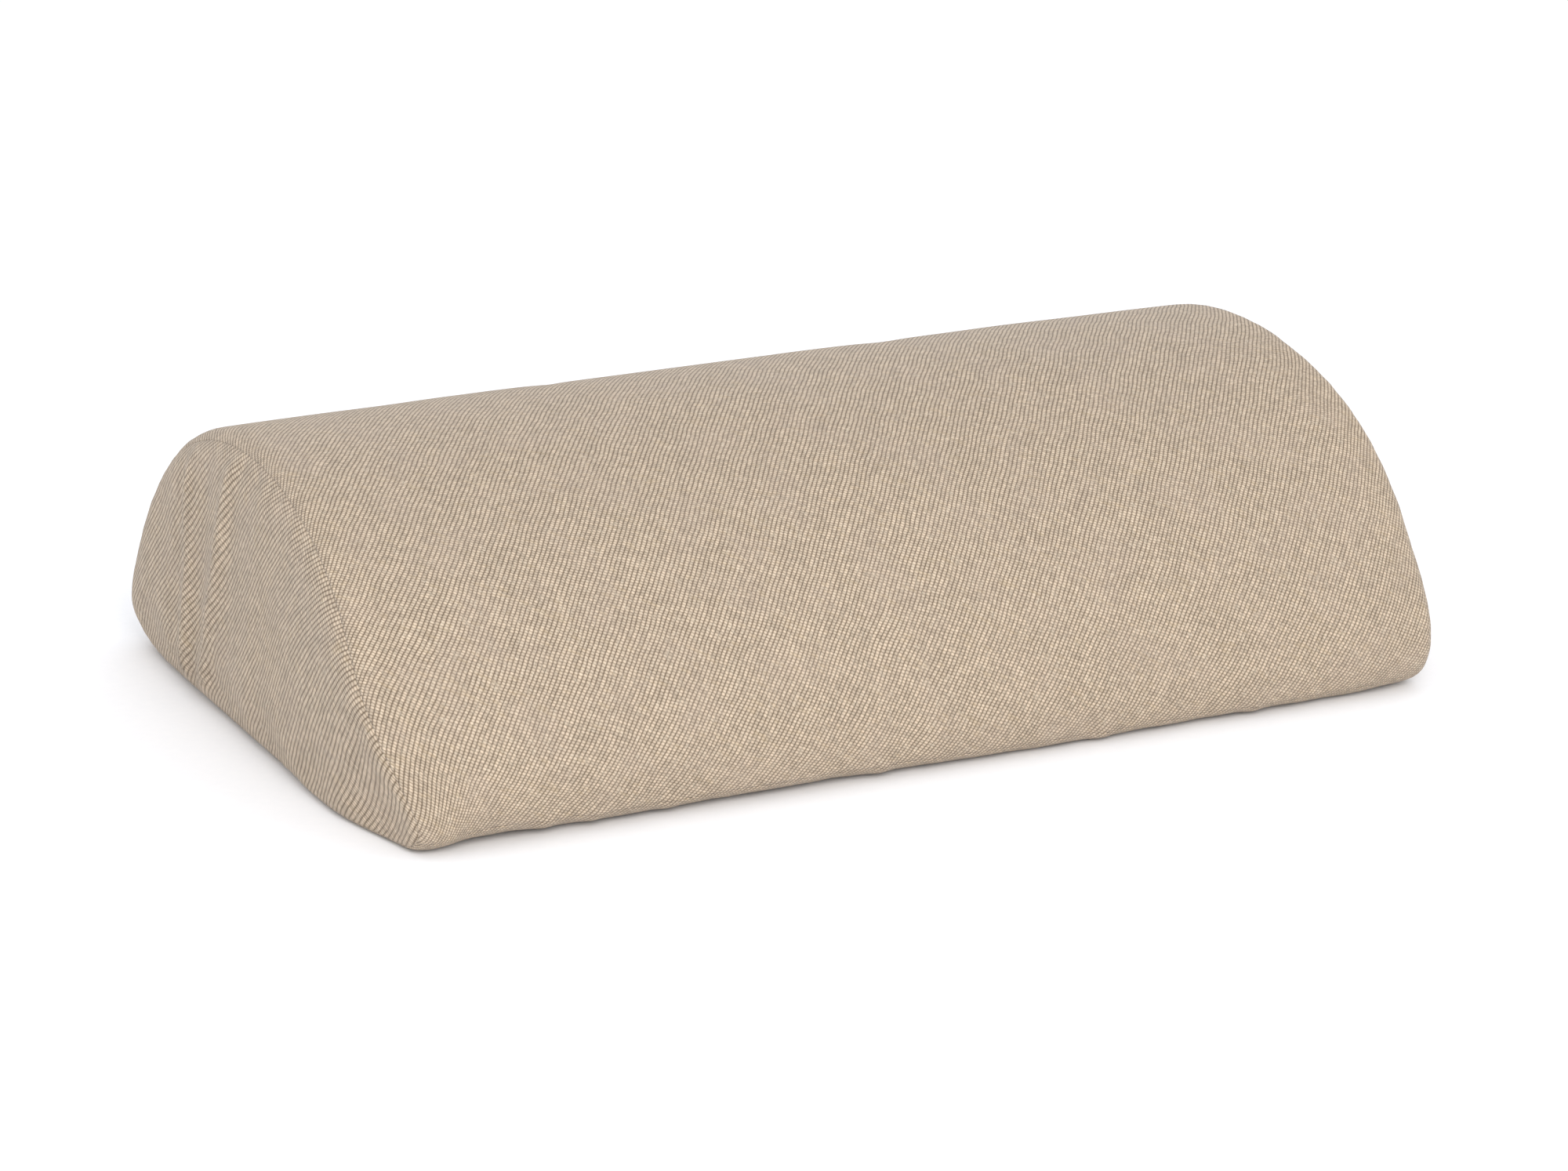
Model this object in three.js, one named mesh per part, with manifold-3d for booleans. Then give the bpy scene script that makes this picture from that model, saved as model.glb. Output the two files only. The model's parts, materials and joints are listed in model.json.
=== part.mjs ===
// A half-moon lumbar support cushion: a foam core in a sewn liner, inside a woven cover that zips open
// along the rear. Millimetres, +Z up, +X along the length and -Y to the front. The origin is the centre of
// the rest face.
import * as THREE from "three";
import { mergeVertices } from "three/addons/utils/BufferGeometryUtils.js";
import Module from "manifold-3d";

// Outer form
const LENGTH = 445;
const DEPTH = 285;
const HEIGHT = 120;
const DEPTH_EXPONENT = 2.05; // 2 would be an ellipse; more makes the sides stand fuller
const HEIGHT_EXPONENT = 1.65; // less than 2 leans the sides inwards above the base
const BASE_CORNER_RADIUS = 16; // long bottom edges
const END_EDGE_RADIUS = 12; // round the rim of each end

// Layers, from the outside in
const COVER_THICKNESS = 1.2;
const LINER_THICKNESS = 0.8;
const LAYER_GAP = 0.3;
const SEAM_GAP = 0.4; // between two panels that are sewn edge to edge
const SEAM_ANGLE = 45; // degrees round each rounded edge to the seam that runs along it

// Zip
const ZIP_HEIGHT = 42; // height of the zip's centre line on the rear face
const ZIP_MARGIN = 32.5; // from each end of the cushion to the zip's stop
const TAPE_WIDTH = 14;
const TAPE_THICKNESS = 0.6;
const TAPE_OVERRUN = 4; // tape past each stop
const TAPE_SETBACK = 0.15; // the tape's edge lies this far behind the coil's inner face
const TAPE_DIP = 0.25; // how far the tapes fall away under the slider, as they follow the rear face
const COIL_INNER = 0.75; // from the centre line
const COIL_WIDTH = 2.15;
const COIL_THICKNESS = 1.4;
const STOP_LENGTH = 2.7;
const STOP_THICKNESS = 1.7;
const ZIP_CLEARANCE = 0.3; // slider to coil, tape and stops
const COVER_CLEARANCE = 0.4; // slider to the cover's edges
const SLIDER_LENGTH = 11;
const SLIDER_FLARE = 0.4; // the nose is this much wider than the tail, each side
const SLIDER_WALL = 1;
const WEDGE_LENGTH = 5.5;
const BRIDGE_LENGTH = 9;
const BRIDGE_WIDTH = 1.6;
const BRIDGE_BAR = 1;
const TAB_LENGTH = 26;
const TAB_WIDTH = 6;
const TAB_RING = 1.2; // metal either side of the tab's hole
const TAB_THICKNESS = 1.2;
const TAB_CLEARANCE = 0.3; // tab to bridge and to the slider's top plate

// Hollow that the liner and foam leave behind the zip, closed again this far before the rims
const HOLLOW_STOP = 1;
const HOLLOW_CLEARANCE = 0.5; // under the slider
const HOLLOW_MARGIN = 3; // past the tapes' edges and ends
const HOLLOW_SHOULDER = 10;

// Care label, a folded strip caught in the rear right arch seam
const LABEL_ABOVE_ZIP = 22;
const LABEL_WIDTH = 20;
const LABEL_REACH = 30;
const LABEL_THICKNESS = 0.6;

// Mesh steps
const ARCH_STEP = 13;
const CORNER_STEP = 6.3;
const END_STEP_DEG = 22.5;
const ARCH_TABLE_STEPS = 720;
const CORNER_TABLE_STEPS = 90;
const BASE_STEPS = 6; // across the flat base
const CLOSEST = 0.4; // stations nearer than this to a panel's edge are left out
const OVERSHOOT = 0.1; // how far solids reach into each other before they are joined

const radians = THREE.MathUtils.degToRad;
const halfDepth = DEPTH / 2 - BASE_CORNER_RADIUS;
const rise = HEIGHT - 2 * BASE_CORNER_RADIUS;
const straightHalf = LENGTH / 2 - END_EDGE_RADIUS;
const zipEnd = LENGTH / 2 - ZIP_MARGIN;

// Where the zip's pieces stand: heights above the tapes, which lie straight under the cover, and widths from
// the zip's centre line.
const coilFoot = ZIP_CLEARANCE;
const coilTop = coilFoot + COIL_THICKNESS;
const coilOuter = COIL_INNER + COIL_WIDTH;
const topPlateFoot = coilTop + ZIP_CLEARANCE;
const topPlateTop = topPlateFoot + SLIDER_WALL;
const bottomPlateTop = -TAPE_THICKNESS - TAPE_DIP - ZIP_CLEARANCE;
const bottomPlateFoot = bottomPlateTop - SLIDER_WALL;
const channelHalf = coilOuter + ZIP_CLEARANCE;
const tailHalf = channelHalf + SLIDER_WALL;
const noseHalf = tailHalf + SLIDER_FLARE;
const openingHalf = noseHalf + COVER_CLEARANCE;
const hollowDepth = HOLLOW_CLEARANCE - bottomPlateFoot;
const hollowHalf = TAPE_WIDTH + HOLLOW_MARGIN;
const hollowEnd = zipEnd + TAPE_OVERRUN + HOLLOW_MARGIN;

const colours = {
  cover: new THREE.MeshStandardMaterial({ color: 0xc1b09d, roughness: 0.95, metalness: 0 }),
  liner: new THREE.MeshStandardMaterial({ color: 0xe9e7e2, roughness: 0.9, metalness: 0 }),
  foam: new THREE.MeshStandardMaterial({ color: 0xf1e9d2, roughness: 1, metalness: 0 }),
  tape: new THREE.MeshStandardMaterial({ color: 0xb3a28d, roughness: 0.85, metalness: 0 }),
  coil: new THREE.MeshStandardMaterial({ color: 0xa99883, roughness: 0.45, metalness: 0 }),
  metal: new THREE.MeshStandardMaterial({ color: 0x9a958c, roughness: 0.35, metalness: 1 }),
  label: new THREE.MeshStandardMaterial({ color: 0xf4f3ef, roughness: 0.5, metalness: 0 }),
};

const cushion = new THREE.Group();

function addMesh(name, geometry, material, parent = cushion) {
  const mesh = new THREE.Mesh(geometry, material);
  mesh.name = name;
  parent.add(mesh);
  return mesh;
}

// ---------------------------------------------------------------- the section and its stations

// The section is a core curve with a unit normal at each point; the outer surface lies BASE_CORNER_RADIUS out
// along the normal, and every inner layer a little less far out.
function archStation(t) {
  const c = Math.cos(t);
  const s = Math.max(Math.sin(t), 0);
  const side = Math.sign(c);
  const y = halfDepth * side * Math.abs(c) ** (2 / DEPTH_EXPONENT);
  const z = BASE_CORNER_RADIUS + rise * s ** (2 / HEIGHT_EXPONENT);
  const ny = (DEPTH_EXPONENT / halfDepth) * side * Math.abs(c) ** (2 - 2 / DEPTH_EXPONENT);
  const nz = (HEIGHT_EXPONENT / rise) * s ** (2 - 2 / HEIGHT_EXPONENT);
  const size = Math.hypot(ny, nz);
  return { y, z, ny: ny / size, nz: nz / size };
}

function cornerStation(side, angle) {
  return { y: side * halfDepth, z: BASE_CORNER_RADIUS, ny: side * Math.cos(angle), nz: Math.sin(angle) };
}

// A fine table up the rear corner, over the arch and down the front corner, with the length s along the
// outer surface.
function sectionTable() {
  const quarter = Math.PI / 2;
  const stations = [];
  for (let i = 0; i < CORNER_TABLE_STEPS; i++) {
    stations.push(cornerStation(1, quarter * (i / CORNER_TABLE_STEPS - 1)));
  }
  for (let i = 0; i <= ARCH_TABLE_STEPS; i++) {
    stations.push(archStation((Math.PI * i) / ARCH_TABLE_STEPS));
  }
  for (let i = 1; i <= CORNER_TABLE_STEPS; i++) {
    stations.push(cornerStation(-1, -quarter * (i / CORNER_TABLE_STEPS)));
  }
  let s = 0;
  stations.forEach((station, i) => {
    station.outerY = station.y + station.ny * BASE_CORNER_RADIUS;
    station.outerZ = station.z + station.nz * BASE_CORNER_RADIUS;
    const before = stations[i - 1] || station;
    s += Math.hypot(station.outerY - before.outerY, station.outerZ - before.outerZ);
    station.s = s;
  });
  return stations;
}

const table = sectionTable();
const archLength = table[table.length - 1].s;
const girth = archLength + 2 * halfDepth; // once round the section, back along the flat base
const cornerLength = (BASE_CORNER_RADIUS * Math.PI) / 2;
const baseSeam = BASE_CORNER_RADIUS * radians(90 - SEAM_ANGLE); // from the flat base up to the seam
const zipAt = table.find((station) => station.outerZ >= ZIP_HEIGHT).s;

// How deep in the hollow behind the zip a station is: 1 across the tapes, 0 past the shoulders.
function hollowAt(s) {
  return THREE.MathUtils.clamp(1 - (Math.abs(s - zipAt) - hollowHalf) / HOLLOW_SHOULDER, 0, 1);
}

// The station at any length s round the section. Past archLength it runs along the flat base.
function stationAt(length) {
  const s = THREE.MathUtils.euclideanModulo(length, girth);
  if (s >= archLength) {
    return { y: s - archLength - halfDepth, z: BASE_CORNER_RADIUS, ny: 0, nz: -1, hollow: 0 };
  }
  let low = 0;
  let high = table.length - 1;
  while (high - low > 1) {
    const middle = (low + high) >> 1;
    if (table[middle].s <= s) low = middle;
    else high = middle;
  }
  const [a, b] = [table[low], table[high]];
  const mix = (key) => THREE.MathUtils.lerp(a[key], b[key], (s - a.s) / (b.s - a.s));
  const size = Math.hypot(mix("ny"), mix("nz"));
  return { y: mix("y"), z: mix("z"), ny: mix("ny") / size, nz: mix("nz") / size, hollow: hollowAt(s) };
}

// Even steps from one length to another, without the last.
function evenly(from, to, step) {
  const count = Math.max(1, Math.round((to - from) / step));
  return Array.from({ length: count }, (_, i) => from + ((to - from) * i) / count);
}

// Every layer shares these lengths, so that their facets lie parallel and keep their gaps.
const breaks = [hollowHalf + HOLLOW_SHOULDER, hollowHalf]
  .flatMap((reach) => [zipAt - reach, zipAt + reach])
  .filter((s) => s > cornerLength + CLOSEST);
const roundSection = [
  ...evenly(0, cornerLength, CORNER_STEP),
  ...evenly(cornerLength, archLength - cornerLength, ARCH_STEP),
  ...evenly(archLength - cornerLength, archLength, CORNER_STEP),
  ...evenly(archLength, girth, (girth - archLength) / BASE_STEPS),
  ...breaks,
].sort((a, b) => a - b);

function lengthsBetween(from, to) {
  const inside = [-girth, 0, girth].flatMap((turn) => roundSection.map((s) => s + turn));
  const clear = inside.filter((s) => s > from + CLOSEST && s < to - CLOSEST).sort((a, b) => a - b);
  return [from, ...clear, to];
}

// A place along X. side is the end it belongs to, turn the angle round that end's rounded rim and hollow
// whether the hollow behind the zip reaches there.
function rimPlace(side, turn) {
  return { side, turn, back: 0, hollow: 0 };
}

function straightPlace(x, hollow = 0) {
  return { side: Math.sign(x), turn: 0, back: straightHalf - Math.abs(x), hollow };
}

// A point of a layer: inset is its depth below the outer surface, measured square to it.
function pointOn(place, station, inset) {
  const depth = inset + hollowDepth * station.hollow * place.hollow;
  const reach = END_EDGE_RADIUS - depth;
  const out = BASE_CORNER_RADIUS - END_EDGE_RADIUS + reach * Math.cos(place.turn);
  return new THREE.Vector3(
    place.side * (straightHalf - place.back + reach * Math.sin(place.turn)),
    station.y + station.ny * out,
    station.z + station.nz * out,
  );
}

// ---------------------------------------------------------------- closed solids from rows of points

// Triangles are added from corner points; shared corners merge at the end.
class Solid {
  corners = [];

  triangle(a, b, c) {
    for (const p of [a, b, c]) this.corners.push(p.x, p.y, p.z);
  }

  // A skin over rows of points. It looks along (along a row) x (row to row), or the other way when turned
  // over, and its diagonals run the same way on both sides, so that nested skins have parallel facets.
  skin(rows, turnedOver = false) {
    for (let i = 0; i + 1 < rows.length; i++) {
      for (let k = 0; k + 1 < rows[i].length; k++) {
        const [a, b, c, d] = [rows[i][k], rows[i][k + 1], rows[i + 1][k + 1], rows[i + 1][k]];
        this.triangle(a, turnedOver ? c : b, turnedOver ? b : c);
        this.triangle(a, turnedOver ? d : c, turnedOver ? c : d);
      }
    }
  }

  // A flat face over a closed, convex row of points, fanned from its middle. It looks along +X, or along -X
  // when turned over.
  face(row, turnedOver = false) {
    const middle = new THREE.Vector3();
    row.slice(1).forEach((p) => middle.addScaledVector(p, 1 / (row.length - 1)));
    for (let i = 0; i + 1 < row.length; i++) {
      const [a, b] = turnedOver ? [row[i + 1], row[i]] : [row[i], row[i + 1]];
      this.triangle(middle, a, b);
    }
  }

  geometry() {
    const made = new THREE.BufferGeometry();
    made.setAttribute("position", new THREE.Float32BufferAttribute(this.corners, 3));
    const merged = mergeVertices(made, 1e-3);
    merged.computeVertexNormals();
    return merged;
  }
}

// A sheet between two depths, over stations from one length to another and a row of places along X.
function sheet(from, to, places, outerInset, innerInset) {
  const solid = new Solid();
  const stations = lengthsBetween(from, to).map(stationAt);
  const outer = places.map((place) => stations.map((station) => pointOn(place, station, outerInset)));
  const inner = places.map((place) => stations.map((station) => pointOn(place, station, innerInset)));
  const edge = (rows, end) => rows.map((row) => row.at(end));
  solid.skin(outer);
  solid.skin(inner, true);
  solid.skin([inner[0], outer[0]]);
  solid.skin([outer.at(-1), inner.at(-1)]);
  solid.skin([edge(outer, 0), edge(inner, 0)]);
  solid.skin([edge(inner, -1), edge(outer, -1)]);
  return solid.geometry();
}

// The stations once round the section, and the closed row of points that a layer makes of them.
const ring = roundSection.map(stationAt);

function ringAt(place, inset) {
  const row = ring.map((station) => pointOn(place, station, inset));
  return [...row, row[0]];
}

// Angles round an end's rim, in even steps.
function turns(from, to) {
  const count = Math.max(1, Math.round(THREE.MathUtils.radToDeg(to - from) / END_STEP_DEG));
  return Array.from({ length: count + 1 }, (_, i) => THREE.MathUtils.lerp(from, to, i / count));
}

const seamHalfTurn = SEAM_GAP / 2 / (END_EDGE_RADIUS - COVER_THICKNESS);

// A dished D-shaped panel that closes one end, from the seam round the rim to the flat face.
function endPanel(side, outerInset, innerInset) {
  const solid = new Solid();
  const places = turns(radians(SEAM_ANGLE) + seamHalfTurn, Math.PI / 2).map((turn) => rimPlace(side, turn));
  const outer = places.map((place) => ringAt(place, outerInset));
  const inner = places.map((place) => ringAt(place, innerInset));
  const left = side < 0;
  solid.skin(outer, left);
  solid.skin(inner, !left);
  solid.skin([inner[0], outer[0]], left);
  solid.face(outer.at(-1), left);
  solid.face(inner.at(-1), !left);
  return solid.geometry();
}

// Places from one end of the rims' turn to the other. The layers inside the cover also follow the hollow
// behind the zip.
function placesAlong(lastTurn, withHollow) {
  const half = (side) => {
    const rim = turns(0, lastTurn).map((turn) => rimPlace(side, turn));
    const inside = [straightPlace(side * (straightHalf - HOLLOW_STOP)), straightPlace(side * hollowEnd, 1)];
    return [...rim.reverse(), ...(withHollow ? inside : [])];
  };
  return [...half(-1), ...half(1).reverse()];
}

const seamTurn = radians(SEAM_ANGLE) - seamHalfTurn;

// ---------------------------------------------------------------- foam, liner and cover

function foamCore(inset) {
  const solid = new Solid();
  const rows = placesAlong(Math.PI / 2, true).map((place) => ringAt(place, inset));
  solid.skin(rows);
  solid.face(rows[0], true);
  solid.face(rows.at(-1));
  return solid.geometry();
}

const linerInset = COVER_THICKNESS + LAYER_GAP;
const foamInset = linerInset + LINER_THICKNESS + LAYER_GAP;
const rearBaseSeam = baseSeam + SEAM_GAP / 2;
const frontBaseSeam = archLength - baseSeam - SEAM_GAP / 2;
const baseFrom = frontBaseSeam + SEAM_GAP;
const baseTo = girth + rearBaseSeam - SEAM_GAP;

addMesh("foam_core", foamCore(foamInset), colours.foam);

const linerInner = linerInset + LINER_THICKNESS;
const linerPlaces = placesAlong(seamTurn, true);
addMesh("liner_wrap", sheet(rearBaseSeam, frontBaseSeam, linerPlaces, linerInset, linerInner), colours.liner);
addMesh("liner_base", sheet(baseFrom, baseTo, linerPlaces, linerInset, linerInner), colours.liner);
addMesh("liner_end_left", endPanel(-1, linerInset, linerInner), colours.liner);
addMesh("liner_end_right", endPanel(1, linerInset, linerInner), colours.liner);

const coverPlaces = placesAlong(seamTurn, false);
const upperEdge = zipAt + openingHalf;
const lowerEdge = zipAt - openingHalf;
const addCover = (name, geometry) => addMesh(name, geometry, colours.cover);
addCover("cover_wrap_panel", sheet(upperEdge, frontBaseSeam, coverPlaces, 0, COVER_THICKNESS));
addCover("cover_rear_strip", sheet(rearBaseSeam, lowerEdge, coverPlaces, 0, COVER_THICKNESS));
addCover("cover_base_panel", sheet(baseFrom, baseTo, coverPlaces, 0, COVER_THICKNESS));
addCover("cover_end_panel_left", endPanel(-1, 0, COVER_THICKNESS));
addCover("cover_end_panel_right", endPanel(1, 0, COVER_THICKNESS));

// A fabric tab covers each end of the zip, from its stops to the end seam.
for (const [side, name] of [[-1, "left"], [1, "right"]]) {
  const rim = coverPlaces.filter((place) => place.side === side);
  const inner = straightPlace(side * (zipEnd + SEAM_GAP));
  const places = side < 0 ? [...rim, inner] : [inner, ...rim];
  const tab = sheet(lowerEdge + SEAM_GAP, upperEdge - SEAM_GAP, places, 0, COVER_THICKNESS);
  addCover("zip_end_tab_" + name, tab);
}

// ---------------------------------------------------------------- the zip

// The tapes follow the rear face. Everything else on the zip is placed in a flat frame on the tapes: its
// own Y points out of the cushion and its own Z up the rear face.
const tapeInset = linerInset;
const tapePlaces = [-1, 1].map((side) => straightPlace(side * (zipEnd + TAPE_OVERRUN)));
const tapeInner = COIL_INNER + TAPE_SETBACK;
const tapeDepth = tapeInset + TAPE_THICKNESS;
const upperTape = sheet(zipAt + tapeInner, zipAt + TAPE_WIDTH, tapePlaces, tapeInset, tapeDepth);
const lowerTape = sheet(zipAt - TAPE_WIDTH, zipAt - tapeInner, tapePlaces, tapeInset, tapeDepth);
addMesh("zip_tape_upper", upperTape, colours.tape);
addMesh("zip_tape_lower", lowerTape, colours.tape);

const zipStation = stationAt(zipAt);
const zipFrame = new THREE.Group();
zipFrame.position.copy(pointOn(straightPlace(Number.EPSILON), zipStation, tapeInset)).setX(0);
zipFrame.rotation.x = Math.atan2(zipStation.nz, zipStation.ny);
cushion.add(zipFrame);

function box(x, y, z) {
  const made = new THREE.BoxGeometry(x[1] - x[0], y[1] - y[0], z[1] - z[0]);
  return made.translate((x[0] + x[1]) / 2, (y[0] + y[1]) / 2, (z[0] + z[1]) / 2);
}

const coilEnd = zipEnd - STOP_LENGTH - SEAM_GAP;
for (const [side, name] of [[1, "upper"], [-1, "lower"]]) {
  const across = [side * COIL_INNER, side * coilOuter].sort((a, b) => a - b);
  const coil = box([-coilEnd, coilEnd], [coilFoot, coilTop], across);
  addMesh("zip_coil_" + name, coil, colours.coil, zipFrame);
  const stop = box([zipEnd - STOP_LENGTH, zipEnd], [coilFoot, coilFoot + STOP_THICKNESS], across);
  addMesh("zip_top_stop_" + name, stop, colours.metal, zipFrame);
}
const bottomStop = box(
  [-zipEnd, STOP_LENGTH - zipEnd],
  [coilFoot, coilFoot + STOP_THICKNESS],
  [-coilOuter, coilOuter],
);
addMesh("zip_bottom_stop", bottomStop, colours.metal, zipFrame);

// ---------------------------------------------------------------- slider and pull tab

const wasm = await Module();
wasm.setup();

function solidOf(geometry) {
  const bare = geometry.clone();
  bare.deleteAttribute("normal");
  bare.deleteAttribute("uv");
  const merged = mergeVertices(bare, 1e-4);
  const vertProperties = merged.attributes.position.array;
  const triVerts = new Uint32Array(merged.index.array);
  return new wasm.Manifold(new wasm.Mesh({ numProp: 3, vertProperties, triVerts }));
}

function geometryOf(solid) {
  const mesh = solid.getMesh();
  const made = new THREE.BufferGeometry();
  made.setAttribute("position", new THREE.BufferAttribute(mesh.vertProperties, 3));
  made.setIndex(new THREE.BufferAttribute(mesh.triVerts, 1));
  made.computeVertexNormals();
  return made;
}

// A flat plate: an outline drawn with x along the zip and its own y up the rear face, from one height above
// the tapes to another.
function plate(shape, from, to) {
  const made = new THREE.ExtrudeGeometry(shape, { depth: to - from, bevelEnabled: false, curveSegments: 4 });
  return made.rotateX(Math.PI / 2).translate(0, to, 0);
}

// Heights above the tapes. The bar turns under the bridge, so its corners need room as well.
const tabAxisHeight = topPlateTop + TAB_CLEARANCE + TAB_THICKNESS / 2;
const barCornerReach = (TAB_THICKNESS / 2) * Math.SQRT2;
const bridgeUnderside = tabAxisHeight + barCornerReach + TAB_CLEARANCE;
const bridgeTop = bridgeUnderside + BRIDGE_BAR;

// The slider's outline is a shield, wide at the nose where the open coils enter and narrower at its tail.
function shieldOutline() {
  const half = SLIDER_LENGTH / 2;
  const tailRound = 0.8;
  const noseRound = 1.5;
  const shape = new THREE.Shape();
  shape.moveTo(-half, tailRound - tailHalf);
  shape.quadraticCurveTo(-half, -tailHalf, tailRound - half, -tailHalf);
  shape.lineTo(0, -tailHalf);
  shape.quadraticCurveTo(half / 2, -noseHalf, half - noseRound, -noseHalf);
  shape.quadraticCurveTo(half, -noseHalf, half, noseRound - noseHalf);
  shape.lineTo(half, noseHalf - noseRound);
  shape.quadraticCurveTo(half, noseHalf, half - noseRound, noseHalf);
  shape.quadraticCurveTo(half / 2, noseHalf, 0, tailHalf);
  shape.lineTo(tailRound - half, tailHalf);
  shape.quadraticCurveTo(-half, tailHalf, -half, tailHalf - tailRound);
  return shape;
}

// The wedge that parts the coils is a thin post at the nose.
function wedgeOutline() {
  const nose = SLIDER_LENGTH / 2 - SLIDER_FLARE;
  const half = COIL_INNER - ZIP_CLEARANCE;
  const shape = new THREE.Shape();
  shape.moveTo(nose - WEDGE_LENGTH, 0);
  shape.lineTo(nose - WEDGE_LENGTH / 2, -half);
  shape.lineTo(nose, -half);
  shape.lineTo(nose, half);
  shape.lineTo(nose - WEDGE_LENGTH / 2, half);
  return shape;
}

// The bridge over the slider that the pull tab hangs on, seen from the side.
function bridgeOutline() {
  const half = BRIDGE_LENGTH / 2;
  const foot = topPlateTop - OVERSHOOT;
  const round = BRIDGE_BAR;
  const shape = new THREE.Shape();
  shape.moveTo(-half, foot);
  shape.lineTo(-half + BRIDGE_BAR, foot);
  shape.lineTo(-half + BRIDGE_BAR, bridgeUnderside);
  shape.lineTo(half - BRIDGE_BAR, bridgeUnderside);
  shape.lineTo(half - BRIDGE_BAR, foot);
  shape.lineTo(half, foot);
  shape.lineTo(half, bridgeTop - round);
  shape.quadraticCurveTo(half, bridgeTop, half - round, bridgeTop);
  shape.lineTo(-half + round, bridgeTop);
  shape.quadraticCurveTo(-half, bridgeTop, -half, bridgeTop - round);
  return shape;
}

function sliderBody() {
  const ends = [-SLIDER_LENGTH, SLIDER_LENGTH];
  const block = solidOf(plate(shieldOutline(), bottomPlateFoot, topPlateTop));
  const channel = solidOf(box(ends, [0, topPlateFoot], [-channelHalf, channelHalf]));
  const tapeSlot = solidOf(box(ends, [bottomPlateTop, coilFoot], [-2 * noseHalf, 2 * noseHalf]));
  const wedge = solidOf(plate(wedgeOutline(), bottomPlateTop - OVERSHOOT, topPlateFoot + OVERSHOOT));
  const arch = new THREE.ExtrudeGeometry(bridgeOutline(), { depth: BRIDGE_WIDTH, bevelEnabled: false });
  const bridge = solidOf(arch.translate(0, 0, -BRIDGE_WIDTH / 2));
  return geometryOf(block.subtract(channel).subtract(tapeSlot).add(wedge).add(bridge));
}

// The pull tab's own origin is the axis of the bar that lies under the bridge, and it reaches along -X.
function pullTab() {
  const bar = TAB_THICKNESS / 2;
  const holeHalf = BRIDGE_WIDTH / 2 + TAB_CLEARANCE;
  const holeEnd = Math.hypot(BRIDGE_LENGTH / 2, bridgeTop - tabAxisHeight) + TAB_CLEARANCE;
  const ringHalf = holeHalf + TAB_RING;
  const half = TAB_WIDTH / 2;
  const gripStart = -(TAB_LENGTH + holeEnd) / 2;
  const gripMiddle = half - TAB_LENGTH;
  const shape = new THREE.Shape();
  shape.moveTo(bar, -ringHalf + bar);
  shape.lineTo(bar, ringHalf - bar);
  shape.quadraticCurveTo(bar, ringHalf, 0, ringHalf);
  shape.lineTo(-holeEnd, ringHalf);
  shape.quadraticCurveTo((gripStart - holeEnd) / 2, ringHalf, gripStart, half);
  shape.lineTo(gripMiddle, half);
  shape.absarc(gripMiddle, 0, half, Math.PI / 2, -Math.PI / 2, false);
  shape.lineTo(gripStart, -half);
  shape.quadraticCurveTo((gripStart - holeEnd) / 2, -ringHalf, -holeEnd, -ringHalf);
  shape.lineTo(0, -ringHalf);
  shape.quadraticCurveTo(bar, -ringHalf, bar, -ringHalf + bar);
  const body = solidOf(plate(shape, -bar, bar));
  const hole = solidOf(box([-holeEnd, -bar], [-TAB_THICKNESS, TAB_THICKNESS], [-holeHalf, holeHalf]));
  return geometryOf(body.subtract(hole));
}

// At rest the zip is closed, with the slider against the top stops at the right end.
const sliderFrame = new THREE.Group();
sliderFrame.position.x = zipEnd - STOP_LENGTH - ZIP_CLEARANCE - SLIDER_LENGTH / 2;
zipFrame.add(sliderFrame);
addMesh("zip_slider", sliderBody(), colours.metal, sliderFrame);
addMesh("zip_pull_tab", pullTab(), colours.metal, sliderFrame).position.y = tabAxisHeight;

// ---------------------------------------------------------------- care label

const labelFrom = zipAt + LABEL_ABOVE_ZIP;
const labelRim = coverPlaces.filter((place) => place.side > 0);
const labelPlaces = [straightPlace(straightHalf - LABEL_REACH), ...labelRim];
const labelTop = -LAYER_GAP - LABEL_THICKNESS;
const label = sheet(labelFrom, labelFrom + LABEL_WIDTH, labelPlaces, labelTop, -LAYER_GAP);
addMesh("care_label", label, colours.label);

export default cushion;
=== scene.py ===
"""A lumbar support cushion: a half-moon foam core in a thin liner and a zipped woven cover.

It is laid out as a Blender add-on. Run as a script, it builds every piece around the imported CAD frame.
"""

import json
import math

import bmesh
import bpy
import numpy as np
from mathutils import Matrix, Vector, noise
from mathutils.bvhtree import BVHTree
from mathutils.kdtree import KDTree

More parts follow.
